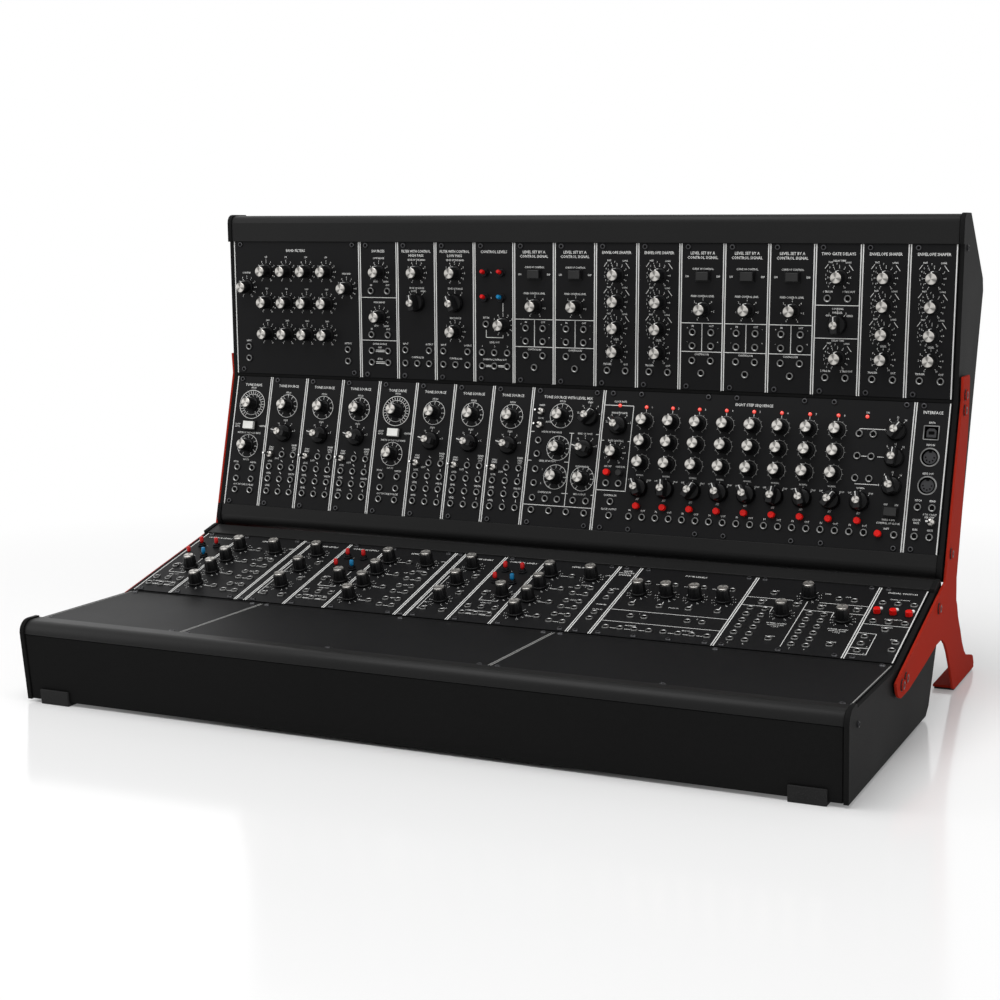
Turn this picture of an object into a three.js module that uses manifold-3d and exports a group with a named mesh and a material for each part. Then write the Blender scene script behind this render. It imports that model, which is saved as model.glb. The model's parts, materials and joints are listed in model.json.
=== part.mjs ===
// A large two-case modular synthesizer: the lower case lies flat, the upper one stands behind it at 75
// degrees, and a red sheet-metal bracket on each side joins the two. Each case holds two rows of modules.
// Millimetres, +Z up, X along the rows, Y towards the back. The origin is the middle of the footprint.
import * as THREE from "three";
import { mergeVertices } from "three/addons/utils/BufferGeometryUtils.js";
import Module from "manifold-3d";

const wasm = await Module();
wasm.setup();

// Driving dimensions of the rows and the two cases.
const stepWidth = 5.08; // of the panel grid
const rowSteps = 140;
const panelHeight = 128.5;
const panelThick = 2;
const panelGap = 0.25; // each panel stays this far inside its own width at both ends
const rowTilt = 15; // degrees between the two rows of a case
const caseTurn = 75; // degrees between the two cases
const rowGapAlong = 3.3;
const rowGapUp = 1.35;
const caseDepth = 67.5; // from the front row's panel faces to the outside of the tray's bottom
const frontFootBack = 5.9; // how far the front wall's foot lies behind its top
const rearFootAhead = 36.4;
const rearChamferBack = 9;
const rearChamferUp = 6.5;
const trayWall = 2;
const fit = 0.3; // gap between pieces that seat on each other
const overrun = 5; // how far a cut runs past the faces it opens

// Driving dimensions of bars, rails, cheeks, feet and brackets.
const barProud = 1.5; // bars stand this far above the panel faces
const noseReach = 21;
const noseRound = 10;
const seamDepth = 9.7; // the front bar ends here and the tray's front wall starts below it
const ledge = 7; // how far a rail reaches under a panel
const railDepth = 17;
const barWall = 6;
const rearReach = 25;
const rearRound = 7;
const rearFace = 24;
const ribDrop = 0.8;
const cheekThick = 4;
const cheekLip = 1; // the cheek's rim outside the bars' and the tray's outline
const rimDrop = 1; // beside the panels the rim lies this far below their faces
const noseInset = 0.4;
const meetInset = 1.2;
const footHeight = 2.5;
const footWidth = 29;
const footLength = 29;
const footRise = 10;
const footInset = 11;
const footFront = 2.5;
const boltInset = 3; // from the panel's edge to the line of screws
const boltDepth = 13.5;
const boltRadius = 2.2;
const boltHeadRadius = 4.7;
const boltHeadHeight = 2;
const bracketThick = 2;
const bracketGap = 1.7; // spacers hold the bracket this far off the cheek
const spacerRadius = 4;
const armDrop = 2.8; // the bracket's front edges lie this far below the panel faces
const flangeWidth = 19.5;
const padThick = 1.7;
const padInset = 1;

// Driving dimensions of the controls.
const knobBase = 6.6;
const knobTop = 5.7;
const knobRing = 1.5; // height of the straight foot of a knob
const knobHeight = 11.5;
const capRadius = 4.8;
const capHeight = 1.7;
const shaftRadius = 3;
const shaftDepth = 9;
const lift = 0.4; // air between a turning or tilting piece and the panel
const rotaryBase = 8.7;
const rotaryTop = 7.3;
const rotarySkirt = 4.5;
const rotaryHeight = 14;
const gripWidth = 6.2;
const gripLength = 14.6;
const rotaryCap = 3.5;
const plainInset = 0.6; // a fixed control is a plain form this far inside a real one
const plainHeight = knobHeight + capHeight - plainInset / 2;
const slimBy = 0.2;
const bushRadius = 3.3;
const bushBore = 2.4;
const bushHeight = 3.5;
const toggleLength = 8.2;
const toggleTip = 1.9;
const toggleNeck = 1.1;
const toggleBall = 1.6;
const toggleTilt = 12;
const miniLength = 10.5;
const rockerLength = 5.3; // half of the paddle's length
const rockerWidth = 3.7; // half of its width
const rockerFrame = 1.1;
const rockerEnd = 6.3;
const rockerMiddle = 5.8;
const rockerBelow = 2.5;
const rockerTilt = 8;
const rockerAir = 0.6;
const buttonRadius = 3;
const buttonHeight = 4.5;
const capButtonHeight = 4.6;
const buttonBelow = 3;
const socketRadius = 7.2; // round five-pin sockets
const usbWidth = 12;
const usbHeight = 11;

// Driving dimensions of what is behind the panels.
const boardThick = 1.6;
const boardDrop = 12.4; // air between the panels' faces and the module boards
const boardInset = 1;
const postRadius = 3;
const grooveWidth = 0.5;
const grooveDepth = 1;
const supplyWidth = 95;
const supplyDepth = 130;
const supplyAir = 3.2; // between the supply's top and the bottom of the middle rail
const supplyInset = 20;
const busDepth = 40;
const busRise = 6;
const headerLength = 30;
const headerDepth = 9;
const headerHeight = 9;
const inletWidth = 30;
const inletHeight = 24;
const inletWall = 2;
const inletCup = 12;
const inletBack = 36;
const inletFlange = 2;
const inletShare = 0.35; // of the rear wall's height, from its foot to the inlet's middle

const rowWidth = rowSteps * stepWidth;
const degree = Math.PI / 180;
const weldDistance = 1e-4;
const knobSides = 10;
const roundSides = 8;
const plainSides = 6;

// Materials with the colours of the real surfaces.
function finish(color, roughness, metalness) {
  return new THREE.MeshStandardMaterial({ color, roughness, metalness });
}
const blackCase = finish(0x1c1c1d, 0.6, 0.2);
const blackPanel = finish(0x202022, 0.65, 0.1);
const redSteel = finish(0xa5281f, 0.5, 0.2);
const blackRubber = finish(0x121212, 0.9, 0);
const blackKnob = finish(0x161617, 0.45, 0);
const redPlastic = finish(0xc4171c, 0.35, 0);
const bluePlastic = finish(0x1f4fb0, 0.35, 0);
const whitePlastic = finish(0xe6e6e2, 0.4, 0);
const silver = finish(0xc4c5c8, 0.3, 0.9);

// Solids: geometries of three.js turned into closed bodies that can be joined and cut.
function solid(geometry) {
  const bare = geometry.index ? geometry.toNonIndexed() : geometry.clone();
  bare.deleteAttribute("normal");
  bare.deleteAttribute("uv");
  const merged = mergeVertices(bare, weldDistance);
  const vertProperties = merged.attributes.position.array;
  const triVerts = Uint32Array.from(merged.index.array);
  return new wasm.Manifold(new wasm.Mesh({ numProp: 3, vertProperties, triVerts }));
}
function geometryOf(body) {
  const mesh = body.getMesh();
  const geometry = new THREE.BufferGeometry();
  geometry.setAttribute("position", new THREE.BufferAttribute(mesh.vertProperties, 3));
  geometry.setIndex(new THREE.BufferAttribute(mesh.triVerts, 1));
  return geometry.toNonIndexed();
}
function join(bodies) {
  return wasm.Manifold.union(bodies);
}
function cut(body, tools) {
  return tools.length ? body.subtract(join(tools)) : body;
}
function addMesh(parent, name, body, material) {
  const geometry = geometryOf(body);
  geometry.computeVertexNormals();
  const mesh = new THREE.Mesh(geometry, material);
  mesh.name = name;
  parent.add(mesh);
  return mesh;
}
function boxGeometry([x0, y0, z0], [x1, y1, z1]) {
  const geometry = new THREE.BoxGeometry(x1 - x0, y1 - y0, z1 - z0);
  return geometry.translate((x0 + x1) / 2, (y0 + y1) / 2, (z0 + z1) / 2);
}
function box(low, high) {
  return solid(boxGeometry(low, high));
}
// A round post or a tapered one that stands along Z at a place.
function post([x, y], z0, z1, bottom, top, sides) {
  const geometry = new THREE.CylinderGeometry(top, bottom, z1 - z0, sides).rotateX(Math.PI / 2);
  return solid(geometry.translate(x, y, (z0 + z1) / 2));
}
// A hole tool whose flat sides clear a round piece of the given radius.
function bore(place, z0, z1, radius, sides) {
  const outer = radius / Math.cos(Math.PI / sides);
  return post(place, z0, z1, outer, outer, sides);
}
function turned(profile, sides) {
  const points = profile.map(([r, z]) => new THREE.Vector2(r, z));
  return solid(new THREE.LatheGeometry(points, sides).rotateX(Math.PI / 2));
}
// A profile in the side view, given as [back, up] points, run along X.
function extrudeAcross(points, x0, x1) {
  const shape = new THREE.Shape(points.map(([y, z]) => new THREE.Vector2(y, z)));
  const geometry = new THREE.ExtrudeGeometry(shape, { depth: x1 - x0, bevelEnabled: false });
  const across = new THREE.Matrix4().makeBasis(
    new THREE.Vector3(0, 1, 0),
    new THREE.Vector3(0, 0, 1),
    new THREE.Vector3(1, 0, 0),
  );
  return solid(geometry.applyMatrix4(across).translate(x0, 0, 0));
}
// A round tool along X, centred on a [back, up] point.
function acrossPost([y, z], x0, x1, radius, sides) {
  const geometry = new THREE.CylinderGeometry(radius, radius, x1 - x0, sides).rotateZ(-Math.PI / 2);
  return solid(geometry.translate((x0 + x1) / 2, y, z));
}
function arc([y, z], radius, from, to, steps) {
  return Array.from({ length: steps + 1 }, (_, i) => {
    const angle = (from + ((to - from) * i) / steps) * degree;
    return [y + radius * Math.cos(angle), z + radius * Math.sin(angle)];
  });
}

// Places in the side view of a case: how far along a row, and how far out of its panel faces.
function onFrontRow(along, out) {
  return [along, out];
}
function onRearRow(along, out) {
  const c = Math.cos(rowTilt * degree);
  const s = Math.sin(rowTilt * degree);
  return [panelHeight + rowGapAlong + along * c - out * s, rowGapUp + along * s + out * c];
}
// The upper case starts where its front plane meets the plane of the lower case's rear row.
const meetPoint = onRearRow(panelHeight + rearReach - meetInset, 0);
const meetDrop = noseReach - noseInset;
const upperOrigin = [
  meetPoint[0] + meetDrop * Math.cos(caseTurn * degree),
  meetPoint[1] + meetDrop * Math.sin(caseTurn * degree),
];
function inUpperCase([y, z]) {
  const c = Math.cos(caseTurn * degree);
  const s = Math.sin(caseTurn * degree);
  return [upperOrigin[0] + y * c - z * s, upperOrigin[1] + y * s + z * c];
}

// The outline of a case in its side view, grown outwards by a lip.
const noseCentre = [-noseReach + noseRound, barProud - noseRound];
const trayFrontTop = [-noseReach + lift, -seamDepth - fit];
const trayFrontFoot = [-noseReach + lift + frontFootBack, -caseDepth];
const trayRearTop = onRearRow(panelHeight + rearReach, -rearFace - fit);
const trayRearFoot = [trayRearTop[0] - rearFootAhead, -caseDepth + rearChamferUp];
const trayRearEnd = [trayRearFoot[0] - rearChamferBack, -caseDepth];
function caseOutline(lip) {
  const creaseOut = -rimDrop;
  const creaseRise = creaseOut - rowGapUp - creaseOut * Math.cos(rowTilt * degree);
  const creaseAlong = creaseRise / Math.sin(rowTilt * degree);
  const rearCentre = onRearRow(panelHeight + rearReach - rearRound, barProud - rearRound);
  return [
    ...arc(rearCentre, rearRound + lip, rowTilt, rowTilt + 90, 4),
    onRearRow(panelHeight, barProud + lip),
    onRearRow(panelHeight, creaseOut),
    onRearRow(creaseAlong, creaseOut),
    onFrontRow(0, creaseOut),
    onFrontRow(0, barProud + lip),
    ...arc(noseCentre, noseRound + lip, 90, 180, 6),
    [trayFrontFoot[0] - lip, trayFrontFoot[1] - lip / 2],
    [trayRearEnd[0], trayRearEnd[1] - lip / 2],
    [trayRearFoot[0] + lip, trayRearFoot[1]],
    [trayRearTop[0] + lip, trayRearTop[1]],
  ];
}
// The four screw places of a cheek: both ends of both rows, on the line of the rails' threads.
const boltPlaces = [
  onFrontRow(boltInset, -boltDepth),
  onFrontRow(panelHeight - boltInset, -boltDepth),
  onRearRow(boltInset, -boltDepth),
  onRearRow(panelHeight - boltInset, -boltDepth),
];

// Moves each point of an open line sideways, with mitred corners, to give a sheet its thickness.
function offsetLine(points, distance) {
  const directions = points.slice(1).map(([y, z], i) => {
    const along = new THREE.Vector2(y - points[i][0], z - points[i][1]).normalize();
    return [along.x, along.y];
  });
  return points.map(([y, z], i) => {
    const before = directions[Math.max(i - 1, 0)];
    const after = directions[Math.min(i, directions.length - 1)];
    const normal = new THREE.Vector2(-before[1] - after[1], before[0] + after[0]).normalize();
    const stretch = distance / (normal.x * -after[1] + normal.y * after[0]);
    return [y + normal.x * stretch, z + normal.y * stretch];
  });
}

// Modules: their width in steps, and the places of their controls, each as [steps from the left
// edge, share of the panel's height below its top edge]. A switch adds the turn of its pointer, in
// degrees to the left.
const typeShares = {
  bank: {
    width: 28,
    knobs: [0.221, 0.457, 0.693]
      .flatMap((down) => [7.35, 11.8, 16.25, 20.7].map((step) => [step, down]))
      .concat([[2.9, 0.342], [25.1, 0.342]]),
  },
  filters: { width: 8, knobs: [[4.1, 0.22], [4.1, 0.548]] },
  highPass: { width: 8, knobs: [[4.1, 0.22]], rotaries: [[4, 0.436, 9]] },
  lowPass: { width: 8, knobs: [[4, 0.22], [4, 0.642]], rotaries: [[4, 0.436, 24]] },
  control: {
    width: 8,
    knobs: [[5.8, 0.586]],
    toggles: [[2.2, 0.215], [5.5, 0.215], [2.2, 0.393], [5.5, 0.393]],
  },
  amplifier: { width: 8, knobs: [[4.2, 0.447]], rockers: [[4.1, 0.22]] },
  envelope: { width: 8, knobs: [[4.1, 0.22], [4.1, 0.405], [4.1, 0.589], [4.1, 0.753]] },
  delay: { width: 8, knobs: [[4.2, 0.22], [4.3, 0.755]], rotaries: [[4.1, 0.531, 3]] },
  driver: { width: 8, knobs: [[4.1, 0.218], [4.1, 0.542]], rockers: [[4.2, 0.384]] },
  oscillator: { width: 8, knobs: [[4.1, 0.218]], rotaries: [[4.1, 0.43, 75]], minis: [[1.6, 0.598]] },
  core: {
    width: 14,
    knobs: [[6, 0.197], [6, 0.432], [6, 0.64], [11.3, 0.641]],
    rotaries: [[11.5, 0.194, -42], [11.1, 0.428, 75]],
    minis: [[2, 0.173], [2, 0.272]],
  },
  sequencer: {
    width: 56,
    knobs: [0, 1, 2, 3, 4, 5, 6, 7]
      .flatMap((n) => [0.209, 0.357, 0.506].map((down) => [8.25 + 4.97 * n, down]))
      .concat([[3, 0.442]]),
    rotaries: [24, 2, -32, 24, 27, -8, 24, -36, 10]
      .map((turn, n) => [8.25 + 4.97 * n, 0.682, turn])
      .concat([[3.2, 0.249, 45], [53.2, 0.198, -35], [53.2, 0.377, -5], [53.2, 0.566, 22]]),
    buttons: [0, 1, 2, 3, 4, 5, 6, 7, 8]
      .map((n) => [8.25 + 4.97 * n, 0.811])
      .concat([[2, 0.585], [4.4, 0.585], [51.7, 0.888]]),
    rockers: [[53.4, 0.74]],
  },
  midi: { width: 6, minis: [[4.4, 0.791]] },
  mixer: { width: 14, knobs: [[3, 0.221], [3, 0.414], [3, 0.616], [3, 0.83], [10.7, 0.221]] },
  narrow: { width: 2 },
  three: { width: 8, knobs: [[3.7, 0.208], [3.7, 0.469], [3.7, 0.736]] },
  outputs: { width: 4 },
  attenuators: { width: 21, knobs: [[3, 0.385], [8, 0.385], [13, 0.385], [18, 0.385]] },
  gates: { width: 21, knobs: [[10.4, 0.222], [7.8, 0.503], [17.9, 0.511]] },
  switch: { width: 8, tallButtons: [[1.5, 0.361], [4.1, 0.361], [6.7, 0.366]] },
};
const socketShares = { usb: [3, 0.199], upper: [3.1, 0.361], lower: [3.1, 0.549] };
const postShare = 1.2; // steps from a board's end to its post
const postDropShare = 0.8;
const boardEndShare = 0.08; // of the panel's height, free of board at the top and the bottom

// Each group of modules is one node: the row it is in and the types from left to right.
const groups = [
  { name: "filter_bank_module", row: "upperRear", types: ["bank"] },
  {
    name: "top_row_modules",
    row: "upperRear",
    types: ["filters", "highPass", "lowPass", "control", "amplifier", "amplifier", "envelope", "envelope"]
      .concat(["amplifier", "amplifier", "amplifier", "delay", "envelope", "envelope"]),
  },
  {
    name: "oscillator_modules",
    row: "upperFront",
    types: ["driver", "oscillator", "oscillator", "oscillator", "driver", "oscillator", "oscillator"]
      .concat(["oscillator", "core"]),
  },
  { name: "sequencer_module", row: "upperFront", types: ["sequencer"] },
  { name: "midi_module", row: "upperFront", types: ["midi"] },
  {
    name: "lower_row_modules",
    row: "lowerRear",
    types: ["control", "mixer", "narrow", "three", "control", "mixer", "narrow", "three", "control", "mixer"]
      .concat(["outputs", "attenuators", "gates", "switch"]),
  },
];
// One module of each type has all its controls as moving pieces: [group, module, kind, index, name].
const movingControls = [
  ["top_row_modules", 2, "knobs", 0, "low_pass_cutoff_knob"],
  ["top_row_modules", 2, "rotaries", 0, "low_pass_range_switch"],
  ["top_row_modules", 2, "knobs", 1, "low_pass_resonance_knob"],
  ["top_row_modules", 4, "rockers", 0, "amplifier_response_rocker"],
  ["top_row_modules", 4, "knobs", 0, "amplifier_gain_knob"],
  ["top_row_modules", 6, "knobs", 0, "envelope_attack_knob"],
  ["top_row_modules", 6, "knobs", 1, "envelope_decay_knob"],
  ["top_row_modules", 6, "knobs", 2, "envelope_sustain_knob"],
  ["top_row_modules", 6, "knobs", 3, "envelope_release_knob"],
  ["oscillator_modules", 0, "knobs", 0, "driver_tuning_knob"],
  ["oscillator_modules", 0, "rockers", 0, "driver_mode_rocker"],
  ["oscillator_modules", 0, "knobs", 1, "driver_width_knob"],
  ["oscillator_modules", 1, "knobs", 0, "oscillator_tuning_knob"],
  ["oscillator_modules", 1, "rotaries", 0, "oscillator_range_switch"],
  ["oscillator_modules", 1, "minis", 0, "oscillator_sync_toggle"],
  ["sequencer_module", 0, "knobs", 0, "step_1_upper_knob"],
  ["sequencer_module", 0, "knobs", 1, "step_1_middle_knob"],
  ["sequencer_module", 0, "knobs", 2, "step_1_lower_knob"],
  ["sequencer_module", 0, "rotaries", 0, "step_1_mode_switch"],
  ["sequencer_module", 0, "buttons", 0, "step_1_button"],
  ["lower_row_modules", 0, "knobs", 0, "control_level_knob"],
  ["lower_row_modules", 0, "toggles", 0, "control_red_toggle"],
  ["lower_row_modules", 0, "toggles", 3, "control_blue_toggle"],
  ["lower_row_modules", 1, "knobs", 0, "mixer_channel_1_knob"],
  ["lower_row_modules", 1, "knobs", 1, "mixer_channel_2_knob"],
  ["lower_row_modules", 1, "knobs", 2, "mixer_channel_3_knob"],
  ["lower_row_modules", 1, "knobs", 3, "mixer_channel_4_knob"],
  ["lower_row_modules", 13, "tallButtons", 0, "switch_button_1"],
  ["lower_row_modules", 13, "tallButtons", 1, "switch_button_2"],
];

// Each kind of control: the piece itself about its own place, what it adds to the panel round it,
// and the hole that it moves in. A fixed control is a plainer shape, part of the panel.
function knobBody() {
  return turned(
    [
      [0, -shaftDepth],
      [shaftRadius, -shaftDepth],
      [shaftRadius, lift],
      [knobBase, lift],
      [knobBase, lift + knobRing],
      [knobTop, knobHeight],
      [capRadius, knobHeight],
      [capRadius, knobHeight + capHeight],
      [0, knobHeight + capHeight],
    ],
    knobSides,
  );
}
function rotaryBody() {
  const skirt = turned(
    [
      [0, -shaftDepth],
      [shaftRadius, -shaftDepth],
      [shaftRadius, lift],
      [rotaryBase, lift],
      [rotaryBase, lift + knobRing],
      [rotaryTop, rotarySkirt],
      [0, rotarySkirt],
    ],
    knobSides,
  );
  const low = [-gripWidth / 2, -gripLength / 2, rotarySkirt / 2];
  const grip = box(low, [gripWidth / 2, gripLength / 2, rotaryHeight]);
  const cap = post([0, 0], rotarySkirt, rotaryHeight + capHeight, rotaryCap, rotaryCap, knobSides);
  return join([skirt, grip, cap]);
}
function plainRotary([x, y], turn) {
  const base = rotaryBase - plainInset;
  const halfWidth = (gripWidth - plainInset) / 2;
  const halfLength = (gripLength - plainInset) / 2;
  const high = [halfWidth, halfLength, rotaryHeight - plainInset / 2];
  return [
    post([x, y], -panelThick / 2, rotarySkirt - plainInset, base, rotaryTop - plainInset, roundSides),
    box([-halfWidth, -halfLength, rotarySkirt / 2], high).rotate([0, 0, turn]).translate([x, y, 0]),
  ];
}
function shaftHole(place) {
  return bore(place, -panelThick - overrun, overrun, shaftRadius + lift, roundSides);
}
// The bat rests tilted: up the panel, or to the left where it is a small one.
function toggleBody(length, tilt, slim) {
  const bat = turned(
    [
      [0, -toggleBall],
      [toggleBall - slim, 0],
      [toggleNeck - slim, bushHeight - lift],
      [toggleTip - slim, length - toggleTip],
      [toggleNeck - slim, length - slim],
      [0, length - slim],
    ],
    slim > 0 ? plainSides : roundSides,
  );
  return bat.rotate(tilt).translate([0, 0, toggleLift]);
}
function plainToggle(length, tilt) {
  return ([x, y]) => [
    post([x, y], -panelThick / 2, bushHeight, bushRadius, bushRadius, plainSides),
    toggleBody(length, tilt, slimBy).translate([x, y, 0]),
  ];
}
const upTilt = [-toggleTilt, 0, 0];
const leftTilt = [0, -toggleTilt, 0];
const toggleLift = toggleBall / 2; // the pivot's height over the panel's face
function bush(place) {
  return post(place, -panelThick / 2, bushHeight, bushRadius, bushRadius, roundSides);
}
function rockerBody() {
  const paddle = extrudeAcross(
    [
      [-rockerLength, -rockerBelow],
      [rockerLength, -rockerBelow],
      [rockerLength, rockerEnd],
      [0, rockerMiddle],
      [-rockerLength, rockerEnd],
    ],
    -rockerWidth,
    rockerWidth,
  );
  return paddle.rotate([0, 0, 90]).rotate([0, rockerTilt, 0]);
}
function rockerHousing([x, y]) {
  const halfLength = rockerLength + rockerAir + rockerFrame;
  const halfWidth = rockerWidth + fit + rockerFrame;
  return box([x - halfLength, y - halfWidth, -panelThick], [x + halfLength, y + halfWidth, rockerFrame]);
}
function rockerHole([x, y]) {
  const halfLength = rockerLength + rockerAir;
  const halfWidth = rockerWidth + fit;
  const low = [x - halfLength, y - halfWidth, -panelThick - overrun];
  return box(low, [x + halfLength, y + halfWidth, overrun]);
}
function buttonBody(height) {
  return post([0, 0], -buttonBelow, height, buttonRadius, buttonRadius, knobSides);
}
function buttonHole(place) {
  return bore(place, -panelThick - overrun, overrun, buttonRadius + lift, knobSides);
}
function plainPost(base, top, height) {
  return (place) => [post(place, -panelThick / 2, height, base, top, roundSides)];
}
const kinds = {
  knobs: {
    moving: knobBody,
    holes: (place) => [shaftHole(place)],
    trim: () => [],
    fixed: plainPost(knobBase - plainInset, capRadius - plainInset / 2, plainHeight),
    material: blackKnob,
  },
  rotaries: {
    moving: rotaryBody,
    holes: (place) => [shaftHole(place)],
    trim: () => [],
    fixed: plainRotary,
    material: blackKnob,
  },
  toggles: {
    moving: () => toggleBody(toggleLength, upTilt, 0),
    holes: (place) => [bore(place, -panelThick - overrun, bushHeight + overrun, bushBore, roundSides)],
    trim: (place) => [bush(place)],
    fixed: plainToggle(toggleLength, upTilt),
    material: redPlastic,
  },
  minis: {
    moving: () => toggleBody(miniLength, leftTilt, 0),
    holes: (place) => [bore(place, -panelThick - overrun, bushHeight + overrun, bushBore, roundSides)],
    trim: (place) => [bush(place)],
    fixed: plainToggle(miniLength, leftTilt),
    material: silver,
  },
  rockers: {
    moving: rockerBody,
    holes: (place) => [rockerHole(place)],
    trim: (place) => [rockerHousing(place)],
    fixed: (place) => [
      rockerHousing(place),
      box(
        [place[0] - rockerLength, place[1] - rockerWidth, 0],
        [place[0] + rockerLength, place[1] + rockerWidth, rockerMiddle - plainInset],
      ),
    ],
    material: blackKnob,
  },
  buttons: {
    moving: () => buttonBody(buttonHeight),
    holes: (place) => [buttonHole(place)],
    trim: () => [],
    fixed: plainPost(buttonRadius - slimBy, buttonRadius - slimBy, buttonHeight - slimBy),
    material: redPlastic,
  },
  tallButtons: {
    moving: () => buttonBody(capButtonHeight),
    holes: (place) => [buttonHole(place)],
    trim: () => [],
    fixed: plainPost(buttonRadius - slimBy, buttonRadius - slimBy, capButtonHeight - slimBy),
    material: redPlastic,
  },
};
const specialMaterials = { driver_mode_rocker: whitePlastic, control_blue_toggle: bluePlastic };

function placeOn(start, [step, down]) {
  return [(start + step) * stepWidth - rowWidth / 2, (1 - down) * panelHeight];
}
// The holes of the sockets: two round ones and a square one.
function socketHoles(start) {
  const [x, y] = placeOn(start, socketShares.usb);
  const low = [x - usbWidth / 2, y - usbHeight / 2, -panelThick - overrun];
  const round = [socketShares.upper, socketShares.lower].map((share) => {
    return bore(placeOn(start, share), -panelThick - overrun, overrun, socketRadius, knobSides);
  });
  return [box(low, [x + usbWidth / 2, y + usbHeight / 2, overrun]), ...round];
}
// The board behind one module, and the posts that carry it on the panel.
function moduleBoard(start, width) {
  const x0 = start * stepWidth - rowWidth / 2 + boardInset;
  const x1 = (start + width) * stepWidth - rowWidth / 2 - boardInset;
  const low = [x0, boardEndShare * panelHeight, -boardDrop - boardThick];
  const high = [x1, (1 - boardEndShare) * panelHeight, -boardDrop];
  const step = Math.min(postShare, width / 2);
  const steps = width > 2 * rotaryBase ? [step, width - step] : [step];
  const posts = steps.map((s) => {
    const place = placeOn(start, [s, postDropShare]);
    return post(place, -boardDrop - boardThick / 2, -panelThick / 2, postRadius, postRadius, roundSides);
  });
  return [box(low, high), ...posts];
}
function widthOf(types) {
  return types.reduce((sum, type) => sum + typeShares[type].width, 0);
}
// A group starts where the groups before it in its row end.
function startOf(group) {
  const before = groups.slice(0, groups.indexOf(group)).filter((other) => other.row === group.row);
  return widthOf(before.flatMap((other) => other.types));
}
function buildGroup(row, group) {
  const solids = [];
  const tools = [];
  let start = startOf(group);
  group.types.forEach((type, module) => {
    const layout = typeShares[type];
    solids.push(...moduleBoard(start, layout.width));
    if (module > 0) {
      const x = start * stepWidth - rowWidth / 2;
      const low = [x - grooveWidth / 2, -overrun, -grooveDepth];
      tools.push(box(low, [x + grooveWidth / 2, panelHeight + overrun, overrun]));
    }
    Object.entries(kinds).forEach(([kind, maker]) => {
      (layout[kind] || []).forEach((share, index) => {
        const place = placeOn(start, share);
        const key = [group.name, module, kind, index].join();
        const found = movingControls.find((control) => control.slice(0, 4).join() === key);
        if (!found) {
          solids.push(...maker.fixed(place, share[2] || 0));
          return;
        }
        solids.push(...maker.trim(place));
        tools.push(...maker.holes(place));
        const mesh = addMesh(row, found[4], maker.moving(), specialMaterials[found[4]] || maker.material);
        mesh.position.set(place[0], place[1], 0);
        mesh.rotation.z = (share[2] || 0) * degree;
      });
    });
    if (type === "midi") tools.push(...socketHoles(start));
    start += layout.width;
  });
  const x0 = startOf(group) * stepWidth - rowWidth / 2 + panelGap;
  const x1 = start * stepWidth - rowWidth / 2 - panelGap;
  solids.push(box([x0, 0, -panelThick], [x1, panelHeight, 0]));
  addMesh(row, group.name, cut(join(solids), tools), blackPanel);
}

// Structure of one case: tray, three rails, two cheeks and the power supply inside.
function trayBody() {
  const rise = trayRearTop[1] - trayRearFoot[1];
  const overlong = [trayRearTop[0] + (trayWall * rearFootAhead) / rise, trayRearTop[1] + trayWall];
  const outer = [trayFrontTop, trayFrontFoot, trayRearEnd, trayRearFoot, overlong];
  const inner = offsetLine(outer, trayWall);
  const sheet = extrudeAcross([...outer, ...inner.reverse()], -rowWidth / 2 + fit, rowWidth / 2 - fit);
  const end = panelHeight + rearReach;
  const above = [
    onRearRow(end + overrun, -rearFace - fit),
    onRearRow(end + overrun, 0),
    onRearRow(end - barWall - overrun, 0),
    onRearRow(end - barWall - overrun, -rearFace - fit),
  ];
  const trim = extrudeAcross(above, -rowWidth / 2 - overrun, rowWidth / 2 + overrun);
  return cut(sheet, [trim, inletBlock(inletWidth / 2 + fit, inletHeight / 2 + fit, -inletBack, overrun)]);
}
function frontBarBody() {
  const profile = [
    onFrontRow(ledge, -panelThick - fit),
    onFrontRow(-fit, -panelThick - fit),
    onFrontRow(-fit, barProud),
    ...arc(noseCentre, noseRound, 90, 180, 6),
    [-noseReach, -seamDepth],
    [-noseReach + barWall, -seamDepth],
    [-noseReach + barWall, -railDepth],
    onFrontRow(ledge, -railDepth),
  ];
  return extrudeAcross(profile, -rowWidth / 2, rowWidth / 2);
}
function middleRailBody() {
  const under = -panelThick - fit;
  const profile = [
    onFrontRow(panelHeight - ledge, under),
    onFrontRow(panelHeight + fit, under),
    onFrontRow(panelHeight + fit, -ribDrop),
    onRearRow(-fit, -ribDrop),
    onRearRow(-fit, under),
    onRearRow(ledge, under),
    onRearRow(ledge, -railDepth),
    onFrontRow(panelHeight - ledge, -railDepth),
  ];
  return extrudeAcross(profile, -rowWidth / 2, rowWidth / 2);
}
function rearBarBody() {
  const end = panelHeight + rearReach;
  const profile = [
    onRearRow(panelHeight - ledge, -panelThick - fit),
    onRearRow(panelHeight + fit, -panelThick - fit),
    onRearRow(panelHeight + fit, barProud),
    ...arc(onRearRow(end - rearRound, barProud - rearRound), rearRound, rowTilt + 90, rowTilt, 5),
    onRearRow(end, -rearFace),
    onRearRow(end - barWall, -rearFace),
    onRearRow(end - barWall, -railDepth),
    onRearRow(panelHeight - ledge, -railDepth),
  ];
  return extrudeAcross(profile, -rowWidth / 2, rowWidth / 2);
}
function cheekBody(side) {
  const inner = rowWidth / 2 + fit;
  const outer = inner + cheekThick;
  const span = side > 0 ? [inner, outer] : [-outer, -inner];
  const holes = boltPlaces.map((place) => {
    return acrossPost(place, span[0] - overrun, span[1] + overrun, boltRadius + fit, roundSides);
  });
  return cut(extrudeAcross(caseOutline(cheekLip), span[0], span[1]), holes);
}
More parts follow.
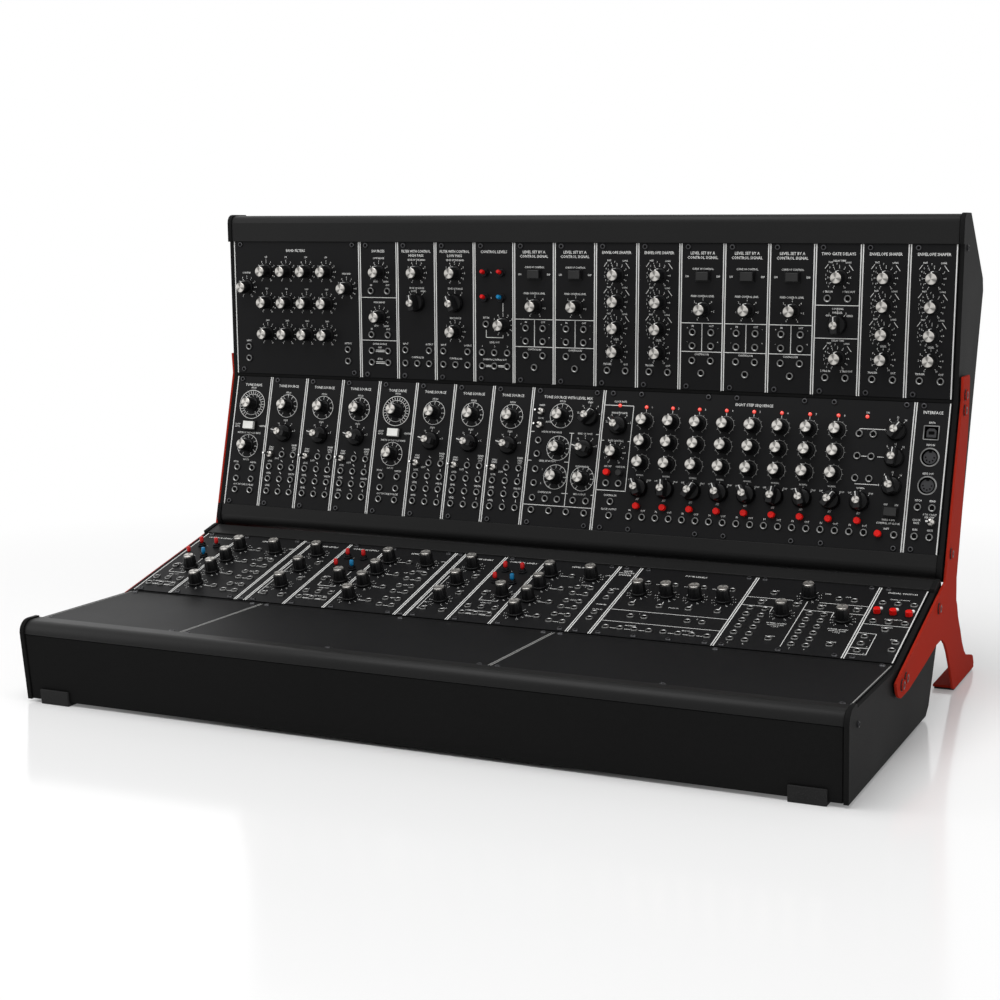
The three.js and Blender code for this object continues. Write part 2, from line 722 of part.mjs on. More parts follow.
// A block square to the sloping rear wall, from one depth to another along the wall's outward normal.
const inletCentreX = -rowWidth / 2 + supplyInset + supplyWidth / 2;
function inletBlock(halfWidth, halfHeight, from, to) {
  const rise = trayRearTop[1] - trayRearFoot[1];
  const slope = Math.atan2(rearFootAhead, rise);
  const geometry = boxGeometry([-halfWidth, from, -halfHeight], [halfWidth, to, halfHeight]);
  geometry.rotateX(-slope);
  const middleY = trayRearFoot[0] + inletShare * rearFootAhead;
  return solid(geometry.translate(inletCentreX, middleY, trayRearFoot[1] + inletShare * rise));
}
function supplyBody() {
  const floor = -caseDepth + trayWall + fit;
  const x0 = -rowWidth / 2 + supplyInset;
  const y1 = trayRearEnd[0] - overrun;
  const supply = box([x0, y1 - supplyDepth, floor], [x0 + supplyWidth, y1, -railDepth - supplyAir]);
  const busY = y1 - supplyDepth;
  const busEnd = rowWidth / 2 - supplyInset;
  const bus = box([x0, busY, floor + busRise], [busEnd, busY + busDepth, floor + busRise + boardThick]);
  const spacerHigh = [busEnd, busY + headerDepth, floor + busRise + boardThick];
  const spacer = box([busEnd - headerLength, busY, floor], spacerHigh);
  const headerCount = 7;
  const run = busEnd - x0 - supplyWidth;
  const headers = Array.from({ length: headerCount }, (_, i) => {
    const x = x0 + supplyWidth + ((i + 0.5) * run) / headerCount;
    const low = [x - headerLength / 2, busY + busDepth / 2, floor + busRise];
    const back = busY + busDepth / 2 + headerDepth;
    return box(low, [x + headerLength / 2, back, floor + busRise + headerHeight]);
  });
  const shell = inletBlock(inletWidth / 2, inletHeight / 2, -inletBack, inletFlange);
  const rimHalf = [inletWidth / 2 + inletFlange, inletHeight / 2 + inletFlange];
  const rim = inletBlock(...rimHalf, fit, fit + inletFlange);
  const cup = inletBlock(inletWidth / 2 - inletWall, inletHeight / 2 - inletWall, -inletCup, overrun);
  return cut(join([supply, bus, spacer, ...headers, shell, rim]), [cup]);
}
function buildCase(caseGroup, label) {
  addMesh(caseGroup, label + "_case_tray", trayBody(), blackCase);
  addMesh(caseGroup, label + "_front_bar", frontBarBody(), blackCase);
  addMesh(caseGroup, label + "_middle_rail", middleRailBody(), blackCase);
  addMesh(caseGroup, label + "_rear_bar", rearBarBody(), blackCase);
  addMesh(caseGroup, label + "_left_cheek", cheekBody(-1), blackCase);
  addMesh(caseGroup, label + "_right_cheek", cheekBody(1), blackCase);
  addMesh(caseGroup, label + "_power_supply", supplyBody(), blackKnob);
}

// The bracket on each side: an arm along each case, a leg down to the floor and a flange under it.
// The upper arm's rear edge and the lower arm's underside, as shares of a panel's height: how far
// along the row's panel faces, and how far below them.
const upperArmShares = [
  [-0.11, 0.395],
  [0.06, 0.387],
  [0.2, 0.377],
  [0.41, 0.366],
  [0.56, 0.339],
  [0.82, 0.316],
  [0.965, 0.283],
];
const upperTipShares = [
  [0.125, 0.247],
  [0.147, 0.225],
  [0.147, armDrop / panelHeight],
];
const lowerArmShares = [
  [-0.208, armDrop / panelHeight],
  [-0.209, 0.04],
  [-0.19, 0.1],
  [-0.15, 0.144],
  [-0.105, 0.174],
  [0.104, 0.228],
  [0.614, 0.297],
  [0.885, 0.326],
  [1.047, 0.366],
];
// The leg's edges, as shares of its spread and of its height over the flange.
const legFrontShares = [
  [0.017, 0.52],
  [0.082, 0.472],
  [0.155, 0.387],
  [0.234, 0.267],
  [0.298, 0.16],
  [0.381, 0.017],
  [0.412, 0],
];
const legRearShares = [
  [0.996, 0],
  [1, 0.038],
  [0.966, 0.106],
  [0.926, 0.129],
  [0.728, 0.191],
  [0.667, 0.242],
  [0.588, 0.338],
  [0.529, 0.443],
  [0.431, 0.592],
  [0.382, 0.709],
  [0.353, 0.747],
];
const flangeFrontShare = 0.43;
const legSpread = 153.3; // from the line where the two fronts meet back to the toe
const floorZ = -caseDepth - cheekLip / 2 - footHeight;
const flangeZ = floorZ + padThick + fit;
const flangeFront = meetPoint[0] + flangeFrontShare * legSpread;
const rearmost = meetPoint[0] + legSpread;
function bracketOutline() {
  const onLeg = ([back, up]) => [meetPoint[0] + back * legSpread, flangeZ + up * (meetPoint[1] - flangeZ)];
  const secondRow = panelHeight + rowGapAlong;
  const onTop = ([along, depth]) => inUpperCase(onRearRow(along * panelHeight, -depth * panelHeight));
  return [
    ...lowerArmShares.map(([along, depth]) => onRearRow(along * panelHeight, -depth * panelHeight)),
    ...legFrontShares.map(onLeg),
    ...legRearShares.map(onLeg),
    ...upperArmShares.map(([along, depth]) => inUpperCase([along * panelHeight, -depth * panelHeight])),
    ...upperTipShares.map(onTop),
    inUpperCase([secondRow + armDrop * Math.tan((rowTilt / 2) * degree), -armDrop]),
    inUpperCase([-meetDrop - armDrop * Math.tan(((caseTurn - rowTilt) / 2) * degree), -armDrop]),
  ];
}
function bracketBody(side) {
  const inner = rowWidth / 2 + fit + cheekThick + bracketGap;
  const outer = inner + bracketThick;
  const span = (a, b) => (side > 0 ? [a, b] : [-b, -a]);
  const plate = extrudeAcross(bracketOutline(), ...span(inner, outer));
  const [fx0, fx1] = span(outer - flangeWidth, outer);
  const flange = box([fx0, flangeFront, flangeZ], [fx1, rearmost, flangeZ + bracketThick]);
  const used = [
    boltPlaces[1],
    boltPlaces[2],
    boltPlaces[3],
    inUpperCase(boltPlaces[0]),
    inUpperCase(boltPlaces[1]),
    inUpperCase(boltPlaces[2]),
  ];
  const bolts = used.flatMap((place) => [
    acrossPost(place, ...span(outer - fit, outer + boltHeadHeight), boltHeadRadius, knobSides),
    acrossPost(place, ...span(inner - bracketGap - cheekThick + fit, outer), boltRadius, roundSides),
    acrossPost(place, ...span(inner - bracketGap + fit, outer - fit), spacerRadius, knobSides),
  ]);
  return join([plate, flange, ...bolts]);
}
function padBody(side) {
  const outer = rowWidth / 2 + fit + cheekThick + bracketGap + bracketThick - padInset;
  const inner = outer + 2 * padInset - flangeWidth;
  const [x0, x1] = side > 0 ? [inner, outer] : [-outer, -inner];
  return box([x0, flangeFront + padInset, floorZ], [x1, rearmost - padInset, floorZ + padThick]);
}
// The front feet wrap round the bottom edge of the tray, the rear ones are flat pads.
function frontFootBody(side) {
  const outer = rowWidth / 2 - footInset;
  const [x0, x1] = side > 0 ? [outer - footWidth, outer] : [-outer, footWidth - outer];
  const wallSlope = frontFootBack / (trayFrontTop[1] - trayFrontFoot[1]);
  const topY = trayFrontFoot[0] - wallSlope * footRise;
  const profile = [
    [trayFrontFoot[0] + footLength, floorZ],
    [trayFrontFoot[0] + footLength, -caseDepth - fit],
    [trayFrontFoot[0] - fit, -caseDepth - fit],
    [topY - fit, -caseDepth + footRise],
    [topY - footFront, -caseDepth + footRise],
    [trayFrontFoot[0] - footFront, floorZ],
  ];
  return extrudeAcross(profile, x0, x1);
}
function rearFootBody(side) {
  const outer = rowWidth / 2 - footInset;
  const [x0, x1] = side > 0 ? [outer - footWidth, outer] : [-outer, footWidth - outer];
  return box([x0, trayRearEnd[0] - footLength, floorZ], [x1, trayRearEnd[0], -caseDepth - fit]);
}

// The whole instrument.
const synthesizer = new THREE.Group();
const body = new THREE.Group();
const foremost = -noseReach - cheekLip;
body.position.set(0, -(rearmost + foremost) / 2, -floorZ);
synthesizer.add(body);

const lowerCase = new THREE.Group();
const upperCase = new THREE.Group();
upperCase.position.set(0, upperOrigin[0], upperOrigin[1]);
upperCase.rotation.x = caseTurn * degree;
body.add(lowerCase, upperCase);

function addRearRow(parent) {
  const row = new THREE.Group();
  row.position.set(0, panelHeight + rowGapAlong, rowGapUp);
  row.rotation.x = rowTilt * degree;
  parent.add(row);
  return row;
}
const rows = {
  lowerRear: addRearRow(lowerCase),
  upperFront: upperCase,
  upperRear: addRearRow(upperCase),
};
buildCase(lowerCase, "lower");
buildCase(upperCase, "upper");
groups.forEach((group) => buildGroup(rows[group.row], group));

// The blank panels of the lower case's front row: name and width in steps, from the left.
const blankPanels = [
  ["blank_panel_left", 28],
  ["blank_panel_middle", 56],
  ["blank_panel_right", 56],
];
let blankStart = -rowWidth / 2;
blankPanels.forEach(([name, steps]) => {
  const blankEnd = blankStart + steps * stepWidth;
  const low = [blankStart + panelGap, 0, -panelThick];
  addMesh(lowerCase, name, box(low, [blankEnd - panelGap, panelHeight, 0]), blackPanel);
  blankStart = blankEnd;
});
[["left", -1], ["right", 1]].forEach(([label, side]) => {
  addMesh(body, label + "_bracket", bracketBody(side), redSteel);
  addMesh(body, label + "_bracket_pad", padBody(side), blackRubber);
  addMesh(body, "front_" + label + "_foot", frontFootBody(side), blackRubber);
  addMesh(body, "rear_" + label + "_foot", rearFootBody(side), blackRubber);
});

export default synthesizer;
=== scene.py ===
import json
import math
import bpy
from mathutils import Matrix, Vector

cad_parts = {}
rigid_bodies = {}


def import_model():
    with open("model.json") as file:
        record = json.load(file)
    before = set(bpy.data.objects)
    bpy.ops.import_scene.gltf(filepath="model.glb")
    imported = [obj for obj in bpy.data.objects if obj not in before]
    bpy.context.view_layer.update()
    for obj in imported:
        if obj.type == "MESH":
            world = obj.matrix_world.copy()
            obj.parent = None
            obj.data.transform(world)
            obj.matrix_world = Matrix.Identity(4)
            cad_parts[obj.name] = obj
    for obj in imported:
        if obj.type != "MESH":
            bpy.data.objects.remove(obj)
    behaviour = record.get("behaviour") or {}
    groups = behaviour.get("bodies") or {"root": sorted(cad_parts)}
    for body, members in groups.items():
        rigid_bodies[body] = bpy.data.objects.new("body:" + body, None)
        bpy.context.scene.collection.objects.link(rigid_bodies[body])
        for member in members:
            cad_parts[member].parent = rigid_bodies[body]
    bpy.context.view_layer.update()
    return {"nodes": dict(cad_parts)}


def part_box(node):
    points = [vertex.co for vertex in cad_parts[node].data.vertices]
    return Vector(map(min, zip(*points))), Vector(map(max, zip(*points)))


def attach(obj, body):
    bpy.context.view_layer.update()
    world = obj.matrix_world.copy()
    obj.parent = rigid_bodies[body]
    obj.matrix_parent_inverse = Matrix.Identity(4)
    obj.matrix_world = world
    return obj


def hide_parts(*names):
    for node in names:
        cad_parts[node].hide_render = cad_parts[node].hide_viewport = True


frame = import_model()

# %% [markdown]
# # A modular synthesizer in two tilted cases
# The instrument is two black sheet-metal cases, held at an angle by a pair of red brackets. Four
# rows of black panels carry knobs, switches and patch sockets by the hundred. Only a few shapes
# are needed, because almost everything repeats: so each shape is made once, with few faces, and a
# small Geometry Nodes tree stamps it wherever the panels need it. Sizes are in millimetres, times
# MM where Blender wants metres. The widths of modules are counted in steps of 5.08 mm.

MM = 0.001
STEP = 5.08
PANEL = 128.5
ROW_STEPS = 140
for name in ("Cube", "Light", "Camera"):
    if name in bpy.data.objects:
        bpy.data.objects.remove(bpy.data.objects[name])


def show(name, data):
    """Adds an object to the scene."""
    made = bpy.data.objects.new(name, data)
    bpy.context.scene.collection.objects.link(made)
    return made


def final_mesh(made):
    """The mesh of an object after its modifiers."""
    bpy.context.view_layer.update()
    real = made.evaluated_get(bpy.context.evaluated_depsgraph_get())
    return bpy.data.meshes.new_from_object(real)


# %% [markdown]
# ## The camera
# The camera stands where the photograph's camera stood: to the right of the middle and a little
# above the object. Its place and lens were solved from the straight seams between the panels,
# whose real distances are known. A small shift puts the object at the same height in the picture.

# %% Camera
lens = bpy.data.cameras.new("camera")
lens.sensor_width, lens.lens = 36, 64.35
lens.shift_x, lens.shift_y = -0.0366, 0.0786
lens.clip_start, lens.clip_end = 0.05, 50
camera = show("camera", lens)
camera.location = (0.6474, -1.4071, 0.4009)
camera.rotation_euler = (math.radians(78.894), 0, math.radians(23.965))
bpy.context.scene.camera = camera
bpy.context.scene.view_settings.view_transform = "Standard"

# %% [markdown]
# ## Node trees as expressions
# Materials and Geometry Nodes are both node trees. Long chains of Math nodes are hard to read, so
# one small class wraps a socket and lets Python's own signs add the nodes: `1 - mask * 0.5` makes
# two Math nodes. Any other node comes from one function that takes its type, settings and values.

# %% The expression class
class Value:
    """One output socket of a tree. Signs between values add Math nodes."""

    def __init__(self, tree, socket):
        self.tree, self.socket = tree, socket

    def math(self, operation, *others):
        return math_node(self.tree, operation, self, *others)

    def __add__(self, other):
        return self.math("ADD", other)

    def __sub__(self, other):
        return self.math("SUBTRACT", other)

    def __rsub__(self, other):
        return math_node(self.tree, "SUBTRACT", other, self)

    def __mul__(self, other):
        return self.math("MULTIPLY", other)

    def __truediv__(self, other):
        return self.math("DIVIDE", other)

    def __gt__(self, other):
        return self.math("GREATER_THAN", other)

    def __lt__(self, other):
        return self.math("LESS_THAN", other)

    __radd__, __rmul__ = __add__, __mul__


def put(tree, value, socket):
    """Links a value to a socket, or writes a plain number, colour or vector on it."""
    if isinstance(value, Value):
        tree.links.new(value.socket, socket)
    else:
        socket.default_value = value


def node(tree, kind, settings=None, values=None, out=0):
    """Adds a node: its settings come first, then the values or links of its sockets."""
    made = tree.nodes.new(kind)
    for key, setting in (settings or {}).items():
        if key == "items":
            while len(made.index_switch_items) < setting:
                made.index_switch_items.new()
        else:
            setattr(made, key, setting)
    for key, value in (values or {}).items():
        put(tree, value, made.inputs[key])
    return Value(tree, made.outputs[out])


def math_node(tree, operation, *numbers):
    return node(tree, "ShaderNodeMath", {"operation": operation}, dict(enumerate(numbers)))


def blend_colours(tree, first, second, factor):
    """A Mix node for colours."""
    return node(tree, "ShaderNodeMix", {"data_type": "RGBA"}, {0: factor, 6: first, 7: second}, 2)


def noise(tree, scale, where, detail=2.0):
    """Noise between 0 and 1, with `scale` lumps in a metre."""
    return node(tree, "ShaderNodeTexNoise", {}, {"Vector": where, "Scale": scale, "Detail": detail})


def bump(tree, height, distance):
    """Turns a height between 0 and 1 into a normal; distance is its depth in metres."""
    return node(tree, "ShaderNodeBump", {}, {"Height": height, "Distance": distance})


def linear(*shade, level=1.0):
    """A colour as it is read on a screen, 0 to 255, times a level, as the shader wants it."""
    scaled = [min(c * level, 255) for c in shade]
    return *[((c / 255 + 0.055) / 1.055) ** 2.4 if c > 10 else c / 255 / 12.92 for c in scaled], 1.0


# %% [markdown]
# ## Powder coat
# Cases, panels and brackets are steel with a baked powder coat. Seen close, it is a skin of small
# soft lumps about half a millimetre wide. Its colour hardly changes, its gloss does, where hands and
# cloths have been. So: two noises make the bump, a large one moves roughness and colour a little.

# %% Powder coat
HANDLED_SCALE = 9.0  # patches about 11 cm wide, worn by hands
SPECK_LEVEL = 0.62  # only the tops of the lumps are specks


def new_finish(name, **constants):
    """A material with one Principled shader. Constants go on the shader's own sockets."""
    material = bpy.data.materials.new(name)
    material.use_nodes = True
    shader = material.node_tree.nodes["Principled BSDF"]
    for key, value in constants.items():
        shader.inputs[key.replace("_", " ")].default_value = value
    return material, material.node_tree, shader.inputs


def own_place(tree):
    """Object coordinates: every object sits at the origin, so they are places in the frame."""
    return node(tree, "ShaderNodeTexCoord", out=3)


def powder_coat(name, shade, grain, depth, rough, shine):
    """Powder coat, with lumps of some width (grain) and depth in millimetres."""
    material, tree, shader = new_finish(name, Specular_IOR_Level=shine)
    where = own_place(tree)
    lumps = noise(tree, 1 / (grain * MM), where, 3.0)
    waves = noise(tree, 0.35 / (grain * MM), where, 1.0)
    handled = noise(tree, HANDLED_SCALE, where, 4.0)
    light, dark = linear(*shade, level=1.10), linear(*shade, level=0.90)
    specks = (lumps > SPECK_LEVEL) * 0.35 + handled * 0.65
    put(tree, blend_colours(tree, dark, light, specks), shader["Base Color"])
    put(tree, rough + (handled - 0.5) * 0.16 + (lumps - 0.5) * 0.10, shader["Roughness"])
    put(tree, bump(tree, lumps * 0.6 + waves * 0.4, depth * MM), shader["Normal"])
    return material


case_black = powder_coat("case_powder_black", (27, 27, 27), 0.9, 0.10, 0.48, 0.012)
bar_black = powder_coat("bar_powder_black", (28, 28, 28), 0.7, 0.04, 0.38, 0.10)
panel_black = powder_coat("panel_powder_black", (15, 15, 16), 0.7, 0.05, 0.50, 0.10)
bracket_red = powder_coat("bracket_powder_red", (157, 41, 28), 0.9, 0.06, 0.55, 0.005)
print("powder coats:", case_black.name, bar_black.name, panel_black.name, bracket_red.name)

# %% [markdown]
# ## Plastics and rubber
# Knobs are moulded thermoset: black, slightly glossy, with a faint ripple from the tool. Buttons and
# toggle sleeves are coloured through, with a smooth clear surface. Feet and pads are dull rubber,
# with a coarse grain and paler dust in its hollows.

# %% Plastics and rubber
def moulded(name, shade, rough, ripple, coat=0.0, glow=0.0, shine=0.5):
    """Moulded plastic; ripple is the depth of its unevenness in millimetres."""
    constants = {"Coat_Roughness": 0.15, "Emission_Strength": glow, "Specular_IOR_Level": shine}
    material, tree, shader = new_finish(name, **constants)
    where = own_place(tree)
    skin, cloud = noise(tree, 1 / (0.5 * MM), where), noise(tree, 60.0, where)
    colour = blend_colours(tree, linear(*shade, level=0.86), linear(*shade, level=1.12), cloud)
    put(tree, colour, shader["Base Color"])
    put(tree, rough + (cloud - 0.5) * 0.2, shader["Roughness"])
    put(tree, coat + cloud * coat * 0.5, shader["Coat Weight"])
    put(tree, bump(tree, skin, ripple * MM), shader["Normal"])
    if glow:
        put(tree, colour, shader["Emission Color"])
    return material


knob_black = moulded("knob_black", (11, 11, 12), 0.40, 0.03, shine=0.14)
skirt_black = moulded("skirt_black", (10, 10, 11), 0.26, 0.02, shine=0.13)
# The grip is the same black moulding as the skirt, set lighter as painted light, for its top that reads
# lighter under the lamps.
grip_painted_light = moulded("grip_painted_light", (18, 18, 19), 0.30, 0.03, shine=0.24)
rocker_black = moulded("rocker_black", (30, 30, 30), 0.5, 0.02, shine=0.25)
# Near black, for the sockets' black plastic and for painted shade: dark discs close the holes of the patch
# sockets and the recesses of the screws, and dark dots mark the holes of the round sockets' pins and
# notch.
black_and_hole_shade = moulded("socket_black_and_painted_hole_shade", (3, 3, 3), 0.8, 0.02, shine=0.05)
socket_grey = moulded("socket_insert_grey", (40, 40, 42), 0.5, 0.02, shine=0.3)
button_red = moulded("button_red", (214, 20, 14), 0.34, 0.01, 0.06, shine=0.2)
sleeve_red = moulded("sleeve_red", (190, 14, 14), 0.36, 0.01, 0.08, shine=0.25)
sleeve_blue = moulded("sleeve_blue", (6, 112, 160), 0.36, 0.01, 0.08, shine=0.25)
paddle_white = moulded("paddle_white", (226, 226, 222), 0.35, 0.01, 0.3)
lamp_red = moulded("lamp_red", (255, 72, 60), 0.20, 0.005, 0.8, 0.55)
lamp_clear = moulded("lamp_clear", (236, 236, 230), 0.20, 0.005, 0.8)


def rubber(name, shade):
    material, tree, shader = new_finish(name, Specular_IOR_Level=0.3)
    where = own_place(tree)
    grain, dust = noise(tree, 1 / (0.8 * MM), where, 4.0), noise(tree, 45.0, where, 3.0)
    hollows = (grain < 0.45) * dust
    dusty = linear(*[c + 26 for c in shade])
    put(tree, blend_colours(tree, linear(*shade), dusty, hollows * 0.6), shader["Base Color"])
    put(tree, 0.78 + dust * 0.15, shader["Roughness"])
    put(tree, bump(tree, grain, 0.15 * MM), shader["Normal"])
    return material


foot_rubber = rubber("foot_rubber", (20, 20, 20))

# %% [markdown]
# ## Metals and ink
# A knob's cap is aluminium, turned on a lathe: fine rings round its own middle. The light that such a
# cap catches in two fans is painted into its colour: a painted highlight in fans, with painted shade
# between them. The rings and fans follow each cap, so the pattern reads an attribute that stores every
# point's place in its own shape. Ring nuts of the sockets are nickel, with the same painted fans,
# screws are blackened steel, and the lettering is white ink, a little thin in places.

# %% Metals and ink
def in_own_shape(tree):
    """A point's place in the shape that it was stamped from, in millimetres."""
    own = node(tree, "ShaderNodeAttribute", {"attribute_name": "own"}, out=1)
    parts = tree.nodes.new("ShaderNodeSeparateXYZ")
    put(tree, own, parts.inputs[0])
    return [Value(tree, parts.outputs[i]) for i in range(3)]


def turned_metal(name, shade, rough, ring_width, depth, fans, painted_shade_level):
    """Metal from a lathe, with rings of some width and depth in millimetres, and fans of painted highlight
    and painted shade in its colour.
    """
    material, tree, shader = new_finish(name, Metallic=1.0)
    x, y, z = in_own_shape(tree)
    radius = (x * x + y * y).math("SQRT")
    wobble = noise(tree, 300.0, own_place(tree), 3.0)
    turns = (radius + z * 0.8) / ring_width
    groove = (turns * math.tau + wobble * 3.0).math("SINE") * 0.5 + 0.5
    # Painted light: the colour runs from the dull tone, which is painted shade, to the bright tone, which
    # is a painted highlight, in fans round the middle, with a little of the ring pattern mixed in.
    spin = y.math("ARCTAN2", x) * fans + 0.9
    wedge = spin.math("COSINE") * 0.5 + 0.5
    painted_fan_light = 1.0 - wedge * wedge
    dull, bright = linear(*shade, level=painted_shade_level), linear(*shade)
    put(tree, blend_colours(tree, dull, bright, painted_fan_light * 0.85 + groove * 0.15), shader["Base Color"])
    put(tree, rough + wobble * 0.12 - painted_fan_light * 0.08, shader["Roughness"])
    put(tree, bump(tree, groove, depth * MM), shader["Normal"])
    return material


def plain_metal(name, shade, rough):
    material, tree, shader = new_finish(name, Metallic=1.0)
    where = own_place(tree)
    worn, fine = noise(tree, 120.0, where, 4.0), noise(tree, 2200.0, where, 1.0)
    dull = linear(*shade, level=0.8)
    put(tree, blend_colours(tree, dull, linear(*shade), worn), shader["Base Color"])
    put(tree, rough + (worn - 0.5) * 0.25, shader["Roughness"])
    put(tree, bump(tree, fine, 0.01 * MM), shader["Normal"])
    return material


# Caps and ring nuts both get the painted fans; the last number is the level of the painted shade between
# them.
cap_aluminium = turned_metal("cap_aluminium", (198, 195, 190), 0.40, 0.32, 0.012, 3.0, 0.48)
ring_nickel = turned_metal("ring_nickel", (134, 134, 133), 0.30, 0.5, 0.01, 2.0, 0.7)
bat_chrome = plain_metal("bat_chrome", (224, 224, 222), 0.18)
screw_black = plain_metal("screw_black", (40, 40, 42), 0.42)
screw_zinc = plain_metal("screw_zinc", (84, 84, 86), 0.36)
supply_steel = plain_metal("supply_steel", (120, 122, 124), 0.42)


def ink(name, shade):
    material, tree, shader = new_finish(name, Specular_IOR_Level=0.3)
    where = own_place(tree)
    thin, grain = noise(tree, 40.0, where, 3.0), noise(tree, 1500.0, where, 2.0)
    faded, cover = linear(*shade, level=0.88), thin * 0.6 + grain * 0.4
    put(tree, blend_colours(tree, faded, linear(*shade), cover), shader["Base Color"])
    put(tree, 0.55 + grain * 0.15, shader["Roughness"])
    return material


ink_white = ink("ink_white", (224, 224, 222))
ink_grey = ink("ink_grey", (150, 150, 148))
print("finishes made:", len(bpy.data.materials))

# %% [markdown]
# ## Forms
# A form is a list of points and faces that grows as parts are added to it, each at its own place and
# in its own finish. It keeps, for every point, where the point was in the shape it came from: the
# lathe rings above need that. Most small parts are turned: a profile goes round the Z axis.

# %% The form class
SHARP = 35  # edges that bend by more degrees than this stay sharp


class Form:
    """Points and faces of a piece in the making."""

    def __init__(self):
        self.points, self.faces, self.finishes, self.own = [], [], [], []

    def add(self, shape, place=Matrix(), finish=0):
        points, faces = shape
        first = len(self.points)
        self.points += [place @ Vector(p) for p in points]
        self.own += [Vector(p) / MM for p in points]
        self.faces += [[first + i for i in face] for face in faces]
        self.finishes += [finish] * len(faces)
        return self

    def piece(self, name, *materials):
        mesh = bpy.data.meshes.new(name)
        mesh.from_pydata(self.points, [], self.faces)
        for material in materials:
            mesh.materials.append(material)
        mesh.polygons.foreach_set("material_index", self.finishes)
        own = mesh.attributes.new("own", "FLOAT_VECTOR", "POINT")
        own.data.foreach_set("vector", [c for p in self.own for c in p])
        mesh.shade_smooth()
        mesh.set_sharp_from_angle(angle=math.radians(SHARP))
        return show(name, mesh)


def turned(profile, sides=16):
    """Points (radius, height) in millimetres, from the bottom up, turned about Z."""
    points, rings = [], []
    for radius, height in profile:
        count = 1 if radius < 1e-6 else sides
        rings.append([len(points) + i for i in range(count)])
        for i in range(count):
            angle = math.tau * i / sides
            x, y = radius * math.cos(angle), radius * math.sin(angle)
            points.append((x * MM, y * MM, height * MM))
    faces = []
    for low, high in zip(rings, rings[1:]):
        for i in range(sides):
            j = i + 1
            face = [low[i % len(low)], low[j % len(low)], high[j % len(high)], high[i % len(high)]]
            faces.append(list(dict.fromkeys(face)))
    return points, [face for face in faces if len(face) > 2]


def around(count):
    """Every number below count with the one that follows it, in a circle."""
    return [(i, (i + 1) % count) for i in range(count)]


def joined(rings):
    """Outlines of (x, y), each at its own height, joined by faces one after the other."""
    points = [(x * MM, y * MM, height * MM) for outline, height in rings for x, y in outline]
    faces, count = [], len(rings[0][0])
    for a in range(0, len(points) - count, count):
        faces += [[a + i, a + j, a + j + count, a + i + count] for i, j in around(count)]
    return points, faces


def stacked(outline, levels):
    """An outline of (x, y) in millimetres at several levels (scale x, scale y, height), closed."""
    rings = [([(x * sx, y * sy) for x, y in outline], height) for sx, sy, height in levels]
    points, faces = joined(rings)
    last = len(points) - len(outline)
    faces.append(list(range(len(outline)))[::-1])
    faces.append(list(range(last, len(points))))
    return points, faces


def rounded_box(half_x, half_y, corner, per_corner=3):
    """The outline of a rectangle with round corners, anticlockwise."""
    outline = []
    for turn, (sx, sy) in enumerate([(1, 1), (-1, 1), (-1, -1), (1, -1)]):
        for i in range(per_corner + 1):
            angle = math.radians(90 * (turn + i / per_corner))
            x = sx * (half_x - corner) + corner * math.cos(angle)
            outline.append((x, sy * (half_y - corner) + corner * math.sin(angle)))
    return outline


# %% [markdown]
# ## Where the rows are
# Each case has a front row and a rear row that is tilted 15 degrees more. The upper case is the same
# case again, turned 75 degrees. A row's matrix puts its lower left corner in the frame: x runs along
# the row, y up the panels and z out of them. Places on a panel are given as the maker's drawing has
# them: steps of 5.08 mm from the module's left edge, and the drop below the panel's top.

# %% Rows
ROW_PLACES = {
    "blank": (0, 0, 0), "lower": (131.8, 1.35, 15),
    "front": (284.242, 60.666, 75), "top": (317.05, 188.324, 90),
}
START_BACK, START_UP = -205.105, 70.5  # the front row's lower edge in the frame
ROWS = {}
for name, (back, up, tilt) in ROW_PLACES.items():
    corner = Vector((-ROW_STEPS / 2 * STEP, back + START_BACK, up + START_UP)) * MM
    ROWS[name] = Matrix.Translation(corner) @ Matrix.Rotation(math.radians(tilt), 4, "X")


def on_panel(row, steps, drop, turn=0.0):
    """The place of a control: steps from the row's left end, millimetres below the panel's top."""
    place = Matrix.Translation((steps * STEP * MM, (PANEL - drop) * MM, 0))
    return ROWS[row] @ place @ Matrix.Rotation(math.radians(turn), 4, "Z")


# %% [markdown]
# ## The stamp
# One Geometry Nodes tree puts a shape on every point of a mesh. Each point carries its turn as three
# angles, because a socket on the top row faces forward and one on the lower row faces up. Realize
# Instances makes real faces of the copies, and Set Material gives them their finish.

# %% The stamp tree
def new_tree(name, **inputs):
    """An empty tree with a geometry output and named inputs: a type, or a number as its default."""
    tree = bpy.data.node_groups.new(name, "GeometryNodeTree")
    tree.interface.new_socket("Geometry", in_out="OUTPUT", socket_type="NodeSocketGeometry")
    for label, kind in inputs.items():
        type_name = kind if isinstance(kind, str) else type(kind).__name__.capitalize()
        socket = tree.interface.new_socket(
            label.replace("_", " "), in_out="INPUT", socket_type="NodeSocket" + type_name
        )
        if not isinstance(kind, str):
            socket.default_value = kind
    entry = tree.nodes.new("NodeGroupInput")
    return tree, {o.name: Value(tree, o) for o in entry.outputs if o.name}


def close_tree(tree, geometry, finish):
    """Every tree ends the same way: real faces, then their finish."""
    real = node(tree, "GeometryNodeRealizeInstances", {}, {"Geometry": geometry})
    shown = node(tree, "GeometryNodeSetMaterial", {}, {"Geometry": real, "Material": finish})
    put(tree, shown, tree.nodes.new("NodeGroupOutput").inputs[0])


def grow(name, mesh, tree, **values):
    """Runs a tree on a mesh and returns the result as a plain mesh object."""
    made = show(name, mesh)
    modifier = made.modifiers.new(name, "NODES")
    modifier.node_group = tree
    for item in tree.interface.items_tree:
        if item.in_out == "INPUT" and item.name in values:
            modifier[item.identifier] = values[item.name]
    plain = final_mesh(made)
    made.modifiers.clear()
    made.data = plain
    return made


